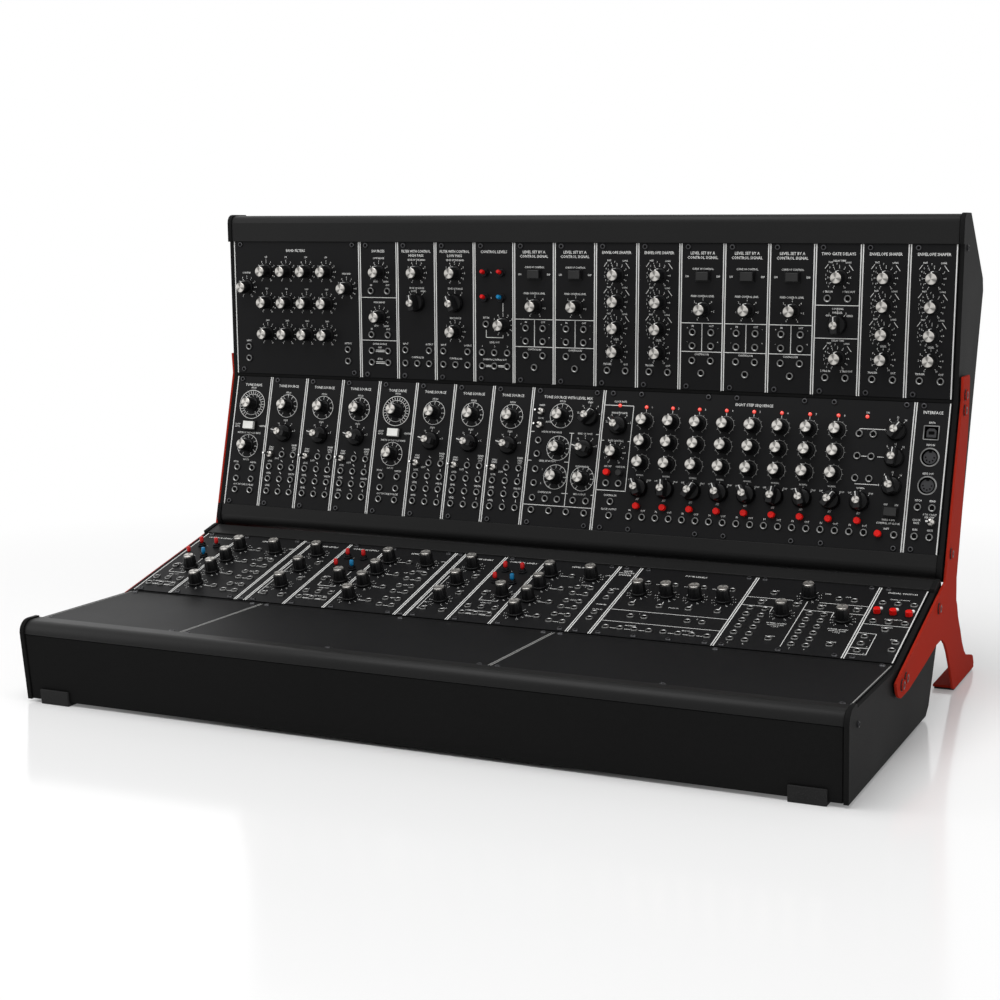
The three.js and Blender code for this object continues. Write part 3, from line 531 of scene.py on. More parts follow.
stamp_tree, given = new_tree("stamp", Points="Geometry", Shape="Object", Finish="Material")
angles = node(
    stamp_tree, "GeometryNodeInputNamedAttribute", {"data_type": "FLOAT_VECTOR"}, {"Name": "turn"}
)
shape_info = node(stamp_tree, "GeometryNodeObjectInfo", {}, {"Object": given["Shape"]}, 4)
sockets = {"Points": given["Points"], "Instance": shape_info, "Rotation": angles}
copies = node(stamp_tree, "GeometryNodeInstanceOnPoints", {}, sockets)
close_tree(stamp_tree, copies, given["Finish"])


def stamp(name, shape, places, finish):
    """Stamps a shape at every place, as one piece of the main body."""
    pattern = Form().add(shape).piece("pattern", finish)
    mesh = bpy.data.meshes.new(name)
    mesh.from_pydata([place.translation for place in places], [], [])
    turn = mesh.attributes.new("turn", "FLOAT_VECTOR", "POINT")
    turn.data.foreach_set("vector", [a for place in places for a in place.to_euler()])
    made = grow(name, mesh, stamp_tree, Shape=pattern, Finish=finish)
    bpy.data.objects.remove(pattern)
    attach(made, "synthesizer")
    print(f"{name}: {len(places)} places, {len(made.data.polygons)} faces")


# %% [markdown]
# ## The fluted knob
# A knob's body is one surface that follows a rule: a plain foot, then a cone whose side is cut by
# flutes for the fingers, then a flat top. So Geometry Nodes bend it out of a flat grid. One way
# across the grid is the way round the knob, the other climbs its levels, and a cosine cuts the
# flutes. The real one has some twenty flutes, fewer read the same at this size and keep it light.

# %% The knob tree
LEVELS = 7
knob_tree, given = new_tree(
    "fluted knob", Base="Geometry", Foot_radius=6.6, Top_radius=5.75, Foot=0.4, Ring=1.5,
    Height=11.6, Flutes=12, Depth=0.07, Finish="Material",
)
PER_FLUTE = 4.0  # points along the way round
counts = {"Vertices X": given["Flutes"] * PER_FLUTE + 1.0, "Vertices Y": LEVELS}
grid = node(knob_tree, "GeometryNodeMeshGrid", {}, {"Size X": 1.0, "Size Y": 1.0, **counts})
across = knob_tree.nodes.new("ShaderNodeSeparateXYZ")
put(knob_tree, node(knob_tree, "GeometryNodeInputPosition"), across.inputs[0])
angle = (Value(knob_tree, across.outputs[0]) + 0.5) * math.tau
level = ((Value(knob_tree, across.outputs[1]) + 0.5) * (LEVELS - 1)).math("ROUND")


def at_level(choices):
    """The value that belongs to a point's level."""
    settings = {"data_type": "FLOAT", "items": LEVELS}
    values = {"Index": level, **dict(enumerate(choices, 1))}
    return node(knob_tree, "GeometryNodeIndexSwitch", settings, values)


foot, top = given["Foot radius"], given["Top radius"]
low, high = given["Foot"] + given["Ring"], given["Height"]
radius = at_level([0.0, foot, foot, foot * 0.35 + top * 0.65 + 0.2, top, top - 0.6, 0.0])
height = at_level([given["Foot"], given["Foot"], low, low + 0.35, high - 0.7, high, high])
wave = (angle * given["Flutes"]).math("COSINE")
fluted = (level > 2.5) * (level < 4.5)
radius = radius * (1.0 - fluted * given["Depth"] * (0.5 - wave * 0.5))
place = {"X": radius * angle.math("COSINE"), "Y": radius * angle.math("SINE"), "Z": height}
bent = node(knob_tree, "ShaderNodeCombineXYZ", {}, place)
scaled = node(knob_tree, "ShaderNodeVectorMath", {"operation": "SCALE"}, {0: bent, "Scale": MM})
surface = node(knob_tree, "GeometryNodeSetPosition", {}, {"Geometry": grid, "Position": scaled})
doubles = {"Geometry": surface, "Distance": 0.001 * MM}
closed = node(knob_tree, "GeometryNodeMergeByDistance", {}, doubles)
close_tree(knob_tree, closed, given["Finish"])


def shape_of(made):
    """Takes an object's points and faces as a shape for a form, and removes the object."""
    points = [tuple(v.co) for v in made.data.vertices]
    faces = [list(p.vertices) for p in made.data.polygons]
    bpy.data.objects.remove(made)
    return points, faces


knob_body = shape_of(grow("knob", bpy.data.meshes.new("knob"), knob_tree, Finish=knob_black))
print("knob body:", len(knob_body[1]), "faces")

# %% [markdown]
# ## The other small parts
# Caps, ring nuts, screws, lamps and buttons are turned shapes. The pointer of a rotary switch is a
# bar with round ends that narrows upwards. Each has only as many faces as its silhouette needs.

# %% Small parts
knob_cap = turned([(0, 11.4), (4.7, 11.4), (4.7, 12.9), (4.4, 13.2), (0.7, 13.1), (0, 13.0)], 24)
knob_line = stacked([(-0.5, 4.4), (0.5, 4.4), (0.5, 5.85), (-0.5, 5.85)], [(1, 1.07, 4.0), (1, 1.0, 11.8)])
skirt = turned([(0, 0.4), (8.7, 0.4), (8.7, 2.1), (8.35, 2.6), (7.5, 4.3), (7.1, 4.5), (0, 4.5)], 28)
grip = stacked(rounded_box(3.1, 7.3, 0.9, 2), [(1.0, 1.0, 4.4), (1.0, 1.0, 12.9), (0.86, 0.94, 14.0)])
rotary_cap = turned([(0, 13.8), (3.3, 13.8), (3.3, 15.4), (3.0, 15.7), (0, 15.6)], 20)
rotary_line = stacked([(-0.4, 2.9), (0.4, 2.9), (0.4, 7.4), (-0.4, 7.4)], [(1, 1, 5.0), (1, 1, 14.2)])
shaft = turned([(0, -9), (3, -9), (3, 0.6), (0, 0.6)], 12)

ring_nut = turned([(3.4, 0), (3.4, 0.9), (3.05, 1.45), (2.55, 1.5), (2.1, 1.2), (2.1, 0.15)], 14)
# A dark disc inside the ring nut: painted shade for the depth of the socket's hole.
socket_hole = turned([(2.15, 1.0), (1.7, 0.8), (0, 0.75)], 10)
screw_head = turned([(0, 0), (2.6, 0), (2.55, 0.6), (2.1, 1.2), (1.5, 1.3), (1.35, 0.9)], 14)
# A dark disc inside the screw head: painted shade for its recess.
screw_recess = turned([(1.4, 1.0), (0.9, 0.9), (0, 0.9)], 8)
hex_nut = turned([(4.1, 0), (4.1, 1.3), (3.7, 1.7), (2.4, 1.7)], 6)
dome_nut = turned([(3.3, 0), (3.3, 0.6), (3.1, 3.0), (2.8, 3.7), (2.3, 3.95), (0, 4.0)], 20)
bush = turned([(3.35, 0), (3.35, 3.2), (3.1, 3.6), (2.3, 3.6), (2.3, 0.6), (0, 0.6)], 14)
button = turned([(0, 0.2), (3, 0.2), (3, 3.9), (2.6, 4.5), (0, 4.55)], 20)
tall_button = turned([(0, 0.2), (3, 0.2), (3, 4.2), (2.7, 4.6), (0, 4.6)], 20)
button_ring = turned([(4.1, 0), (4.0, 0.5), (3.2, 0.5), (3.2, 0.05)], 18)
lamp_dome = turned([(1.7, 0), (1.7, 0.7), (1.35, 1.35), (0.7, 1.7), (0, 1.8)], 12)
bolt_rim = [(0, 0), (4.9, 0), (4.9, 0.5), (4.2, 1.6), (2.9, 2.2)]
bolt_head = turned(bolt_rim + [(1.7, 2.25), (1.6, 1.0), (0, 1.0)], 20)


def lever(length, tip, lean=12):
    """A toggle's bat with its ball in the bush, leaning by some degrees about X."""
    neck = min(tip, 1.5)
    ball = [(0, -1.6), (1.35, -0.9), (1.6, 0), (neck * 0.8, 2.4), (neck, 3.3)]
    end = [(tip, 3.6), (tip, length - 0.7), (tip * 0.75, length), (0, length)]
    points, faces = turned(ball + end, 12)
    tilt = Matrix.Translation((0, 0, 0.8 * MM)) @ Matrix.Rotation(math.radians(-lean), 4, "X")
    return [tuple(tilt @ Vector(p)) for p in points], faces


def rocker_paddle():
    """A rocker's block: a hollow face with soft edges, leaning a little to the right."""
    profile = [(-5.3, 6.0), (-5.0, 6.3), (-2.4, 5.9), (0, 5.8), (2.4, 5.9), (5.0, 6.3), (5.3, 6.0)]
    lean = Matrix.Rotation(math.radians(8), 4, "Y")
    points, faces = [], []
    for x, top in profile:
        half = [(3.4, top), (3.7, top - 0.3), (3.7, -1.5)]
        section = [(-y, z) for y, z in half[::-1]] + half
        points += [tuple(lean @ Vector((x * MM, y * MM, z * MM))) for y, z in section]
    for a in range(0, len(points) - 6, 6):
        faces += [[a + i, a + 6 + i, a + 6 + j, a + j] for i, j in around(6)]
    last = len(points) - 6
    return points, faces + [list(range(6)), list(range(last, last + 6))[::-1]]


def frame_round(half_x, half_y, wall, height, corner=0.8):
    """A raised frame round an opening."""
    outer = rounded_box(half_x, half_y, corner, 2)
    inner = rounded_box(half_x - wall, half_y - wall, corner * 0.6, 2)
    rim = [(x * 0.98, y * 0.97) for x, y in outer]
    return joined([(outer, 0.0), (outer, height - 0.3), (rim, height), (inner, height), (inner, 0.05)])


paddle = rocker_paddle()
toggle_lever, mini_lever = lever(8.2, 1.9), lever(10.5, 1.2)
rocker_frame = frame_round(7.0, 5.0, 1.1, 1.3)
print("small parts ready")

# %% [markdown]
# ## What is on each panel
# The panels are a table: for each type of module its width in steps, and its controls as steps from
# the left edge and share of the height below the top, the same numbers as in the CAD; a rotary switch
# adds how far its pointer is turned to the left. Patch sockets, screws, lines and words follow in
# steps and millimetres. Most are short texts that are read once. A row is then a list of types.

# %% The modules
def spread(steps, drops):
    """Every step at every drop."""
    return [(step, drop) for drop in drops for step in steps]


def table(text):
    """Numbers from a text such as "3 0.22, 1.6 4.1 x 29 62": an x puts every step at every drop."""
    places = []
    for entry in text.split(", "):
        steps, _, drops = entry.partition(" x ")
        steps, drops = [float(n) for n in steps.split()], [float(n) for n in drops.split()]
        places += spread(steps, drops) if drops else [tuple(steps)]
    return places


def labels(text):
    """Words from a text such as "4.1 15 LOW RANGE": steps, millimetres down, the word."""
    parts = [entry.split(" ", 2) for entry in text.split(", ")]
    return [(float(step), float(drop), word) for step, drop, word in parts]


MODULES = {
    "bank": dict(
        steps=28, title="BAND FILTERS",
        knobs="7.35 11.8 16.25 20.7 x 0.221 0.457 0.693, 2.9 25.1 x 0.342",
        jacks="3 25.2 x 102.3 113.4",
        screws="1.7 26.5 x 2.6 124.6",
        words="7.35 14.7 125, 11.8 14.7 175, 16.25 14.7 250, 20.7 14.7 350, 7.35 45.3 500, "
        "11.8 45.3 700, 16.25 45.3 1000, 20.7 45.3 1400, 7.35 76 2000, 11.8 76 2800, "
        "16.25 76 4000, 20.7 76 5600, 2.9 30 LOW END, 25.1 30 HIGH END, 3 96.5 INPUT, "
        "25.2 96.5 OUTPUT",
    ),
    "filters": dict(
        steps=8, title="SOURCES",
        knobs="4.1 x 0.22 0.548",
        jacks="2.4 5.9 x 45.7 87.3 102.5 113.7",
        lines="0.3 52 7.7 52, 0.3 92.7 7.7 92.7, 3.2 102 5.1 102, 3.2 103.4 5.1 103.4, "
        "3.2 113.2 5.1 113.2, 3.2 114.6 5.1 114.6",
        words="4.1 15 LOW RANGE, 3.4 37 LOW, 5.6 37 HIGH, 2.4 40.4 IN, 5.9 40.4 OUT, "
        "4.1 56.6 HIGH RANGE, 3.4 78.9 LOW, 5.6 78.9 HIGH, 2.4 82 IN, 5.9 82 OUT, "
        "4.1 96.2 SOUND SOURCE, 4.1 99.4 HISS, 4.1 110.6 RUSH",
    ),
    "high_pass": dict(
        steps=8, title="FILTER WITH CONTROL/HIGH PASS",
        knobs="4.1 0.22",
        rotaries="4 0.436 9",
        jacks="1.6 6.6 x 101, 1.6 4.1 6.6 x 113.4",
        words="4.1 16.3 EDGE OF THE BAND, 4.1 42.6 EDGE OF RANGE, 3.4 45.4 LOW, 5.4 45.4 HIGH, "
        "1.6 95.3 INPUT, 6.6 95.3 OUTPUT, 4.1 107.8 CONTROLS IN",
    ),
    "low_pass": dict(
        steps=8, title="FILTER WITH CONTROL/LOW PASS",
        knobs="4 x 0.22 0.642",
        rotaries="4 0.436 24",
        jacks="1.6 6.6 x 101, 1.6 4.1 6.6 x 113.4",
        words="4.1 16.3 EDGE OF THE BAND, 4.1 42.6 EDGE OF RANGE, 4.1 70 RESONANCE, "
        "1.6 95.3 INPUT, 6.6 95.3 OUTPUT, 4.1 107.8 CONTROLS IN",
    ),
    "control": dict(
        steps=8, title="CONTROL LEVELS",
        knobs="5.8 0.586",
        toggles="2.2 5.5 x 0.215 0.393",
        jacks="2.4 74.7, 1.6 4.1 6.7 x 101 113.5",
        lines="5.8 55 5.8 63, 2.4 80 2.4 87, 2.4 87 5.8 87, 5.8 84.5 5.8 87, "
        "2.25 112.9 3.45 112.9, 2.25 114.1 3.45 114.1, 4.8 112.9 6 112.9, 4.8 114.1 6 114.1",
        words="3.4 27.4 1, 5 28.4 2, 3.4 50.6 3, 5 51.4 4, 2.4 68.8 EXT IN, 4.1 91.6 LEVEL OUT, "
        "1.6 95.3 1, 4.1 95.3 2, 6.7 95.3 3, 4.1 107.6 COMMON CONTROL OUT",
    ),
    "amplifier": dict(
        steps=8, title="LEVEL SET BY A/CONTROL SIGNAL",
        knobs="4.2 0.447",
        rockers="4.1 0.22",
        jacks="2.4 5.8 x 77.5 89.5 102.5, 4.1 113.5",
        lines="0.3 69.4 7.7 69.4, 0.3 94.6 7.7 94.6, 4.1 69.4 4.1 94.6",
        words="4.1 22.1 CURVE OF CONTROL, 1.2 28.6 LIN, 6.9 28.6 EXP, "
        "4.1 45.8 FIXED CONTROL LEVEL, 2.4 72 IN, 5.8 72 OUT, 1.4 73.8 +, 7 73.8 -, 1.4 86 -, "
        "7 86 +, 4.1 97 CONTROLS IN",
    ),
    "envelope": dict(
        steps=8, title="ENVELOPE SHAPER",
        knobs="4.1 x 0.22 0.405 0.589 0.753",
        jacks="2.4 5.9 x 113.8",
        words="4.1 85.6 LEVEL, 2.4 108.2 TRIGGER, 5.9 108.2 OUT",
    ),
    "delay": dict(
        steps=8, title="TWO GATE DELAYS",
        knobs="4.2 0.22, 4.3 0.755",
        rotaries="4.1 0.531 3",
        jacks="2.3 5.8 x 46 113.6",
        lines="0.3 51.8 7.7 51.8, 0.3 79.9 7.7 79.9",
        words="4.2 14.2 DELAY TIME, 2.3 40.3 1 TRIG IN, 5.9 40.3 1 TRIG OUT, 4.1 54.8 COUPLING, "
        "4.1 58 PARALLEL, 2.4 60.6 OFF, 6.2 60.6 SERIES, 4.3 81.8 DELAY TIME, 2.3 108 2 TRIG IN, "
        "5.9 108 2 TRIG OUT",
    ),
    "driver": dict(
        steps=8, title="TONE DRIVE",
        knobs="4.1 x 0.218 0.542",
        rockers="4.2 0.384",
        jacks="2.4 5.8 x 91.4 102.6 113.8",
        words="4.1 11.4 PITCH, 1.3 48.2 SLOW, 1.3 50.6 AUTO, 7 49.4 CENTRE, "
        "4.1 56.6 WIDTH OF THE PULSE WAVE, 1.9 86 PITCH, 5.8 86 WIDTH, 4.1 83.4 INPUTS, "
        "4.1 108.4 OUT TO TONE SOURCES",
    ),
    "oscillator": dict(
        steps=8, title="TONE SOURCE",
        knobs="4.1 0.218",
        rotaries="4.1 0.43 75",
        minis="1.6 0.598",
        jacks="4.2 6.7 x 76.3, 1.6 4.2 6.7 x 88.9 101 113.3",
        lines="6.7 81.4 6.7 84, 6.7 105.8 6.7 108.2, 4 69.6 4.4 71.2, 4 82 4.4 83.6, "
        "4 94 4.4 95.6, 4 106.4 4.4 108",
        words="4.1 14.9 PITCH, 4.1 42.3 SPAN, 6.7 66.8 INNER, 6.7 69.2 SYNC, 6.7 71.6 OUT, "
        "1.6 69.6 SYNC, 1.6 71.8 HARD, 3.1 80.6 SOFT, 1.6 83.3 LEVEL, 1.6 95.4 LEVEL, "
        "6.7 95.4 WIDTH, 1.6 107.6 LEVEL",
    ),
    "core": dict(
        steps=14, title="TONE SOURCE WITH LEVEL MIX",
        knobs="6 x 0.197 0.432 0.64, 11.3 0.641",
        rotaries="11.5 0.194 -42, 11.1 0.428 75",
        minis="2 x 0.173 0.272",
        screws="1.4 12.6 x 2.9 125.4",
        jacks="2 x 49.1 61.7 75.9 88.8 102.6, 4.5 6.9 10 12.5 x 102.9, 2 5.5 8.9 12.4 x 113.9",
        lines="0.3 41 1 41, 7.9 41 8.8 41, 13.1 41 13.7 41, 8.4 41 8.4 109, 0.3 68 1 68, "
        "7.5 68 8.4 68, 13.3 97 13.7 97, 0.3 109 13.7 109, 7.6 97 8.8 97",
        words="6 12 PITCH, 11.4 11.8 SPAN, 2 16.2 HARD, 2 28.4 SLOW, 3.6 31.6 AUTO, "
        "4.4 41 WIDTH OF THE WAVE, 11 41 KIND OF WAVE, 4.2 68 LEVEL OF OUTPUT, "
        "11.1 71.4 OUTPUT LEVEL, 3.3 75.9 1, 3.3 88.8 2, 4.2 97 CONTROLS IN, 11.1 97 MIX OUTPUT",
    ),
    "midi": dict(
        steps=6, title="INTERFACE",
        minis="4.4 0.791",
        jacks="1.9 4.3 x 89.4, 1.8 4.3 x 114.3",
        words="3 17 DATA, 3.1 36 KEYS IN, 3.1 60.5 KEYS OUT, 1.9 83.6 PITCH, 4.3 83.6 BEND, "
        "4 95.2 0 TO 1 VOLT, 4 97.6 PER STEP, 1.9 100.2 CLOCK, 1.9 102.8 RATE, 1.8 108.5 RUN, "
        "4.3 108.5 GATE",
    ),
    "mixer": dict(
        steps=14, title="LEVEL MIX",
        knobs="3 x 0.221 0.414 0.616 0.83, 10.7 0.221",
        jacks="7 x 28.2 54.2 80.7 108, 9.7 12.1 x 48.3 60.6 75 86.8 101.4 113.5",
        lines="4.9 28.2 6.3 28.2, 4.9 54.2 6.3 54.2, 4.9 80.7 6.3 80.7, 4.9 108 6.3 108, "
        "10.3 60.6 11.4 60.6, 10.3 86.8 11.4 86.8, 10.3 113.5 11.4 113.5",
        words="10.7 42.6 OUTPUT, 13.2 20 LEVEL, 10.9 45.6 1, 10.9 72 INPUTS, 10.9 98.4 INPUTS, "
        "8.3 48.3 OUT",
    ),
    "narrow": dict(
        steps=2,
    ),
    "three": dict(
        steps=8, title="THREE LEVELS",
        knobs="3.7 x 0.208 0.469 0.736",
        jacks="5.8 x 45.5 79.2 113.7, 2.1 112.4",
        lines="0.9 34 0.9 112.4, 0.9 112.4 1.4 112.4, 0.9 34 1.7 34, 0.9 66 1.7 66, "
        "0.9 100 1.7 100",
        words="5.8 39.8 OUT, 5.8 73.6 OUT, 2.1 107 IN, 5.8 108.4 OUT",
    ),
    "outputs": dict(
        steps=4, title="GATE/OUTPUTS/SHAPER",
        jacks="2.1 x 51.3 63 91.6 102.9",
        words="2.1 44.2 OUTPUTS, 2.1 75 INVERTED, 2.1 84.6 OUTPUTS",
    ),
    "attenuators": dict(
        steps=21, title="FOUR LEVELS",
        knobs="3 8 13 18 x 0.385",
        screws="1.4 19.6 x 2.9 125.4, 7.5 13.5 x 125.4",
        jacks="3.2 8.1 13.2 18.2 x 28.9 70.3, 4.6 7 14.5 17 x 92.2, "
        "1.9 4.4 6.9 9.4 11.9 14.4 16.8 19.3 x 114.8",
        lines="0.3 81.6 20.7 81.6, 0.3 102.8 20.7 102.8, 4.7 28.9 6.4 28.9, 9.7 28.9 11.4 28.9, "
        "14.7 28.9 16.4 28.9, 3.2 60.5 3.2 65.5, 8.2 60.5 8.2 65.5, 13.2 60.5 13.2 65.5, "
        "18.2 60.5 18.2 65.5, 2.65 114.8 3.65 114.8, 5.15 114.8 6.15 114.8, "
        "7.65 114.8 8.65 114.8, 12.65 114.8 13.65 114.8, 15.15 114.8 16.15 114.8, "
        "17.55 114.8 18.55 114.8",
        words="10.6 70.3 OUTPUTS, 5.8 86.2 1, 15.8 86.2 2, 5.8 108.4 MULTIPLES, "
        "15.6 108.4 MULTIPLES",
    ),
    "gates": dict(
        steps=21,
        knobs="10.4 0.222, 7.8 0.503, 17.9 0.511",
        screws="1.4 19.6 x 2.9 125.4, 10.6 125.4",
        jacks="4.4 27.9, 15.4 28.6, 18 29.4, 3.3 46.6, 9.2 46.2, 13.3 47.1, 19.2 46.6, "
        "8.1 109.1, 18 109.6, 2.1 4.6 x 58.5 70 81 92 103.8 115.2, "
        "12.1 14.5 x 59.5 70.5 81.5 92.8 103.8 114.6",
        lines="10.6 37 10.6 119, 0.3 37 8.2 37, 12.6 37 20.7 37, 0.3 52.5 5.6 52.5, "
        "5.6 52.5 5.6 62, 10.6 52.5 15.8 52.5, 15.8 52.5 15.8 62, 18.4 52.5 20.7 52.5",
        words="13.2 20 SPEED, 4.4 22.3 START, 16.7 23 STOP, 3.3 41 CLOCK, 9.2 41 CLOCK, "
        "13.3 41.5 CLOCK, 19.2 41 CLOCK, 7.8 80.6 NUMBER OF STEPS, 7.8 83.6 IN EACH TURN, "
        "7.8 86.4 1 TO 8, 17.9 81.4 NUMBER OF STEPS, 17.9 84.4 IN EACH TURN, 17.9 87.2 1 TO 8, "
        "8.1 103.5 OUTPUT, 18 103.8 OUTPUT, 2.1 120.6 1, 4.6 120.6 2, 12.1 120.2 1, 14.5 120.2 2",
    ),
    "switch": dict(
        steps=8, title="SIGNAL SWITCH",
        tall_buttons="1.5 4.1 x 0.361, 6.7 0.366",
        jacks="1.6 4.1 6.7 x 29 62.6, 4.2 76.4, 6.7 x 96.3 108.9, 1.6 x 90.5 102.6 114.7",
        lamps_clear="1.8 4.4 x 38.6, 7 39.4",
        lines="0.3 67.4 7.7 67.4, 0.3 83.5 3.2 83.5, 3.2 83.5 3.2 119.5, 0.3 119.5 3.2 119.5, "
        "0.3 109 3.2 109",
        words="4.1 20.4 SIGNAL OUTPUTS, 4.6 56.4 SIGNAL INPUTS, 4.2 70.8 COMMON, 6.2 90.6 SHIFT, "
        "2.7 95 1, 2.7 106 2, 2.7 117.6 3",
    ),
}
COLUMNS = [8.25 + 4.97 * n for n in range(9)]
ROTARY_TURNS = (24, 2, -32, 24, 27, -8, 24, -36, 10)
MODE_SHARE, STEP_KNOBS = 0.682, 24
SIDE_TURNS = [(3.2, 0.249, 45), (53.2, 0.198, -35), (53.2, 0.377, -5), (53.2, 0.566, 22)]
MODULES["sequencer"] = dict(
    steps=56, title="EIGHT STEP SEQUENCE",
    knobs=[(s, d) for s in COLUMNS[:8] for d in (0.209, 0.357, 0.506)] + [(3.0, 0.442)],
    rotaries=[(s, MODE_SHARE, turn) for s, turn in zip(COLUMNS, ROTARY_TURNS)] + SIDE_TURNS,
    buttons=spread(COLUMNS, [0.811]) + [(2.0, 0.585), (4.4, 0.585), (51.7, 0.888)],
    rockers="53.4 0.74",
    lamps=spread(COLUMNS, [14.1]) + [(3.2, 13.5)],
    jacks=[(s + d, 114.0) for s in COLUMNS for d in (-1.25, 1.25)]
    + spread((46.9, 49.3), (29.0, 48.3, 67.5))
    + [(2.0, 85.0), (4.4, 84.8), (3.2, 101.7), (3.2, 114.3), (54.4, 114.3)],
    screws=[(s, d) for s in (1.7, 7.1, 19.6, 24.8, 36.9, 42.1, 54.5) for d in (2.6, 125.6)],
    lines=[(s, 16.0, s, 18.4) for s in COLUMNS[:8]]
    + table("0.3 13.5 5.8 13.5, 5.8 13.5 5.8 91.5, 0.3 91.5 5.8 91.5, 0.3 46 0.8 46, 5.3 46 5.8 46, "
            "46.9 24.6 51.2 24.6, 46.9 24.6 46.9 26.4, 51.2 24 51.2 25.4, 50.3 48.3 51.4 48.3, "
            "47.6 48.3 48.5 48.3, 46.9 72.4 51 72.4, 51 71.6 51 73.2"),
    words=[(s + 1.05, 14.1, str(n + 1)) for n, s in enumerate(COLUMNS[:8])]
    + [(s, 97.8, "SET") for s in COLUMNS]
    + [(s + d, 108.2, w) for s in COLUMNS for d, w in ((-1.25, "IN"), (1.25, "OUT"))]
    + labels("48.01 10.6 ON, 3.2 10 CLOCK RATE, 3.2 20.4 RANGE OF RATE, 3.05 46 RATE CONTROL, "
             "2 69.6 ON OFF, 4.4 69.6 ONE RUN, 3 95.9 CONTROL IN, 3 108.6 CLOCK OUTPUT, "
             "52.5 88.8 OFF, 54.3 88.8 ON, 53.2 101.8 THIRD ROW, 53.2 104.7 CONTROL OF CLOCK, "
             "53 109.4 SHIFT"),
)
for module in MODULES.values():
    for key, entries in module.items():
        if isinstance(entries, str) and key != "title":
            module[key] = labels(entries) if key == "words" else table(entries)
LOWER = ["control", "mixer", "narrow", "three"]
ROW_TYPES = {
    "top": ["bank", "filters", "high_pass", "low_pass", "control"] + ["amplifier"] * 2
    + ["envelope"] * 2 + ["amplifier"] * 3 + ["delay"] + ["envelope"] * 2,
    "front": (["driver"] + ["oscillator"] * 3) * 2 + ["core", "sequencer", "midi"],
    "lower": LOWER * 2 + ["control", "mixer", "outputs", "attenuators", "gates", "switch"],
}

# %% [markdown]
# ## Which controls move
# One module of each type has real moving controls in the CAD model, each a body of its own. The
# others are fixed there. This table says which control is which node: the row, the number of the
# module in it and the kind of control, then the names in order. A dash stands for a fixed one.

# %% Which controls move
MOVING = {}
for spot, names in {
    "top 3 knobs": "low_pass_cutoff_knob low_pass_resonance_knob",
    "top 3 rotaries": "low_pass_range_switch",
    "top 5 rockers": "amplifier_response_rocker",
    "top 5 knobs": "amplifier_gain_knob",
    "top 7 knobs": "envelope_attack_knob envelope_decay_knob envelope_sustain_knob "
    "envelope_release_knob",
    "front 0 knobs": "driver_tuning_knob driver_width_knob",
    "front 0 rockers": "driver_mode_rocker",
    "front 1 knobs": "oscillator_tuning_knob",
    "front 1 rotaries": "oscillator_range_switch",
    "front 1 minis": "oscillator_sync_toggle",
    "front 9 knobs": "step_1_upper_knob step_1_middle_knob step_1_lower_knob",
    "front 9 rotaries": "step_1_mode_switch",
    "front 9 buttons": "step_1_button",
    "lower 0 knobs": "control_level_knob",
    "lower 0 toggles": "control_red_toggle - - control_blue_toggle",
    "lower 1 knobs": "mixer_channel_1_knob mixer_channel_2_knob mixer_channel_3_knob "
    "mixer_channel_4_knob",
    "lower 13 tall_buttons": "switch_button_1 switch_button_2",
}.items():
    row, number, kind = spot.split()
    for index, name in enumerate(names.split()):
        MOVING[row, int(number), kind, index] = name
fixed, moving, modules = {}, [], []
KINDS = ("knobs", "rotaries", "toggles", "minis", "rockers", "buttons", "tall_buttons")
for row, types in ROW_TYPES.items():
    start = 0
    for number, type_name in enumerate(types):
        module = MODULES[type_name]
        modules.append((row, start, type_name, module))
        for kind in KINDS:
            for index, (step, share, *turn) in enumerate(module.get(kind, [])):
                place = on_panel(row, start + step, share * PANEL, *turn)
                name = MOVING.get((row, number, kind, index), "-")
                if name == "-":
                    fixed.setdefault(kind, []).append((place, type_name, index))
                else:
                    moving.append((name, kind, place))
        width = module["steps"]
        ends = (1.4, width - 1.4) if width > 8 else (min(1.4, width / 2),)
        plain = {"screws": [(end, drop) for end in ends for drop in (2.9, 125.4)], **module}
        for kind in ("jacks", "screws", "lamps", "lamps_clear"):
            for step, drop in plain.get(kind, []):
                place = on_panel(row, start + step, drop)
                fixed.setdefault(kind, []).append((place, type_name, None))
        start += width
print({kind: len(places) for kind, places in fixed.items()}, "moving:", len(moving))

# %% [markdown]
# ## Dressing the controls
# The fixed controls are stamped, one piece for each finish. Each moving control is one piece with
# all its finishes, and it takes the place of its CAD node: it keeps the same shaft, because the
# shaft turns in a real hole, and it rides on that control's body.

# %% Fixed controls
def places_of(*kinds, turn=0.0, with_moving=False):
    """The places of the fixed controls of some kinds, or of the moving ones as well."""
    extra = Matrix.Rotation(math.radians(turn), 4, "Z")
    found = [place @ extra for kind in kinds for place, _, _ in fixed[kind]]
    return found + [place for _, kind, place in moving if with_moving and kind in kinds]


def parted(kind, special):
    """Two lists of places: where the module's name or the control's number is special, the rest."""
    sides = [], []
    for place, type_name, index in fixed[kind]:
        sides[special not in (type_name, index)].append(place)
    return sides


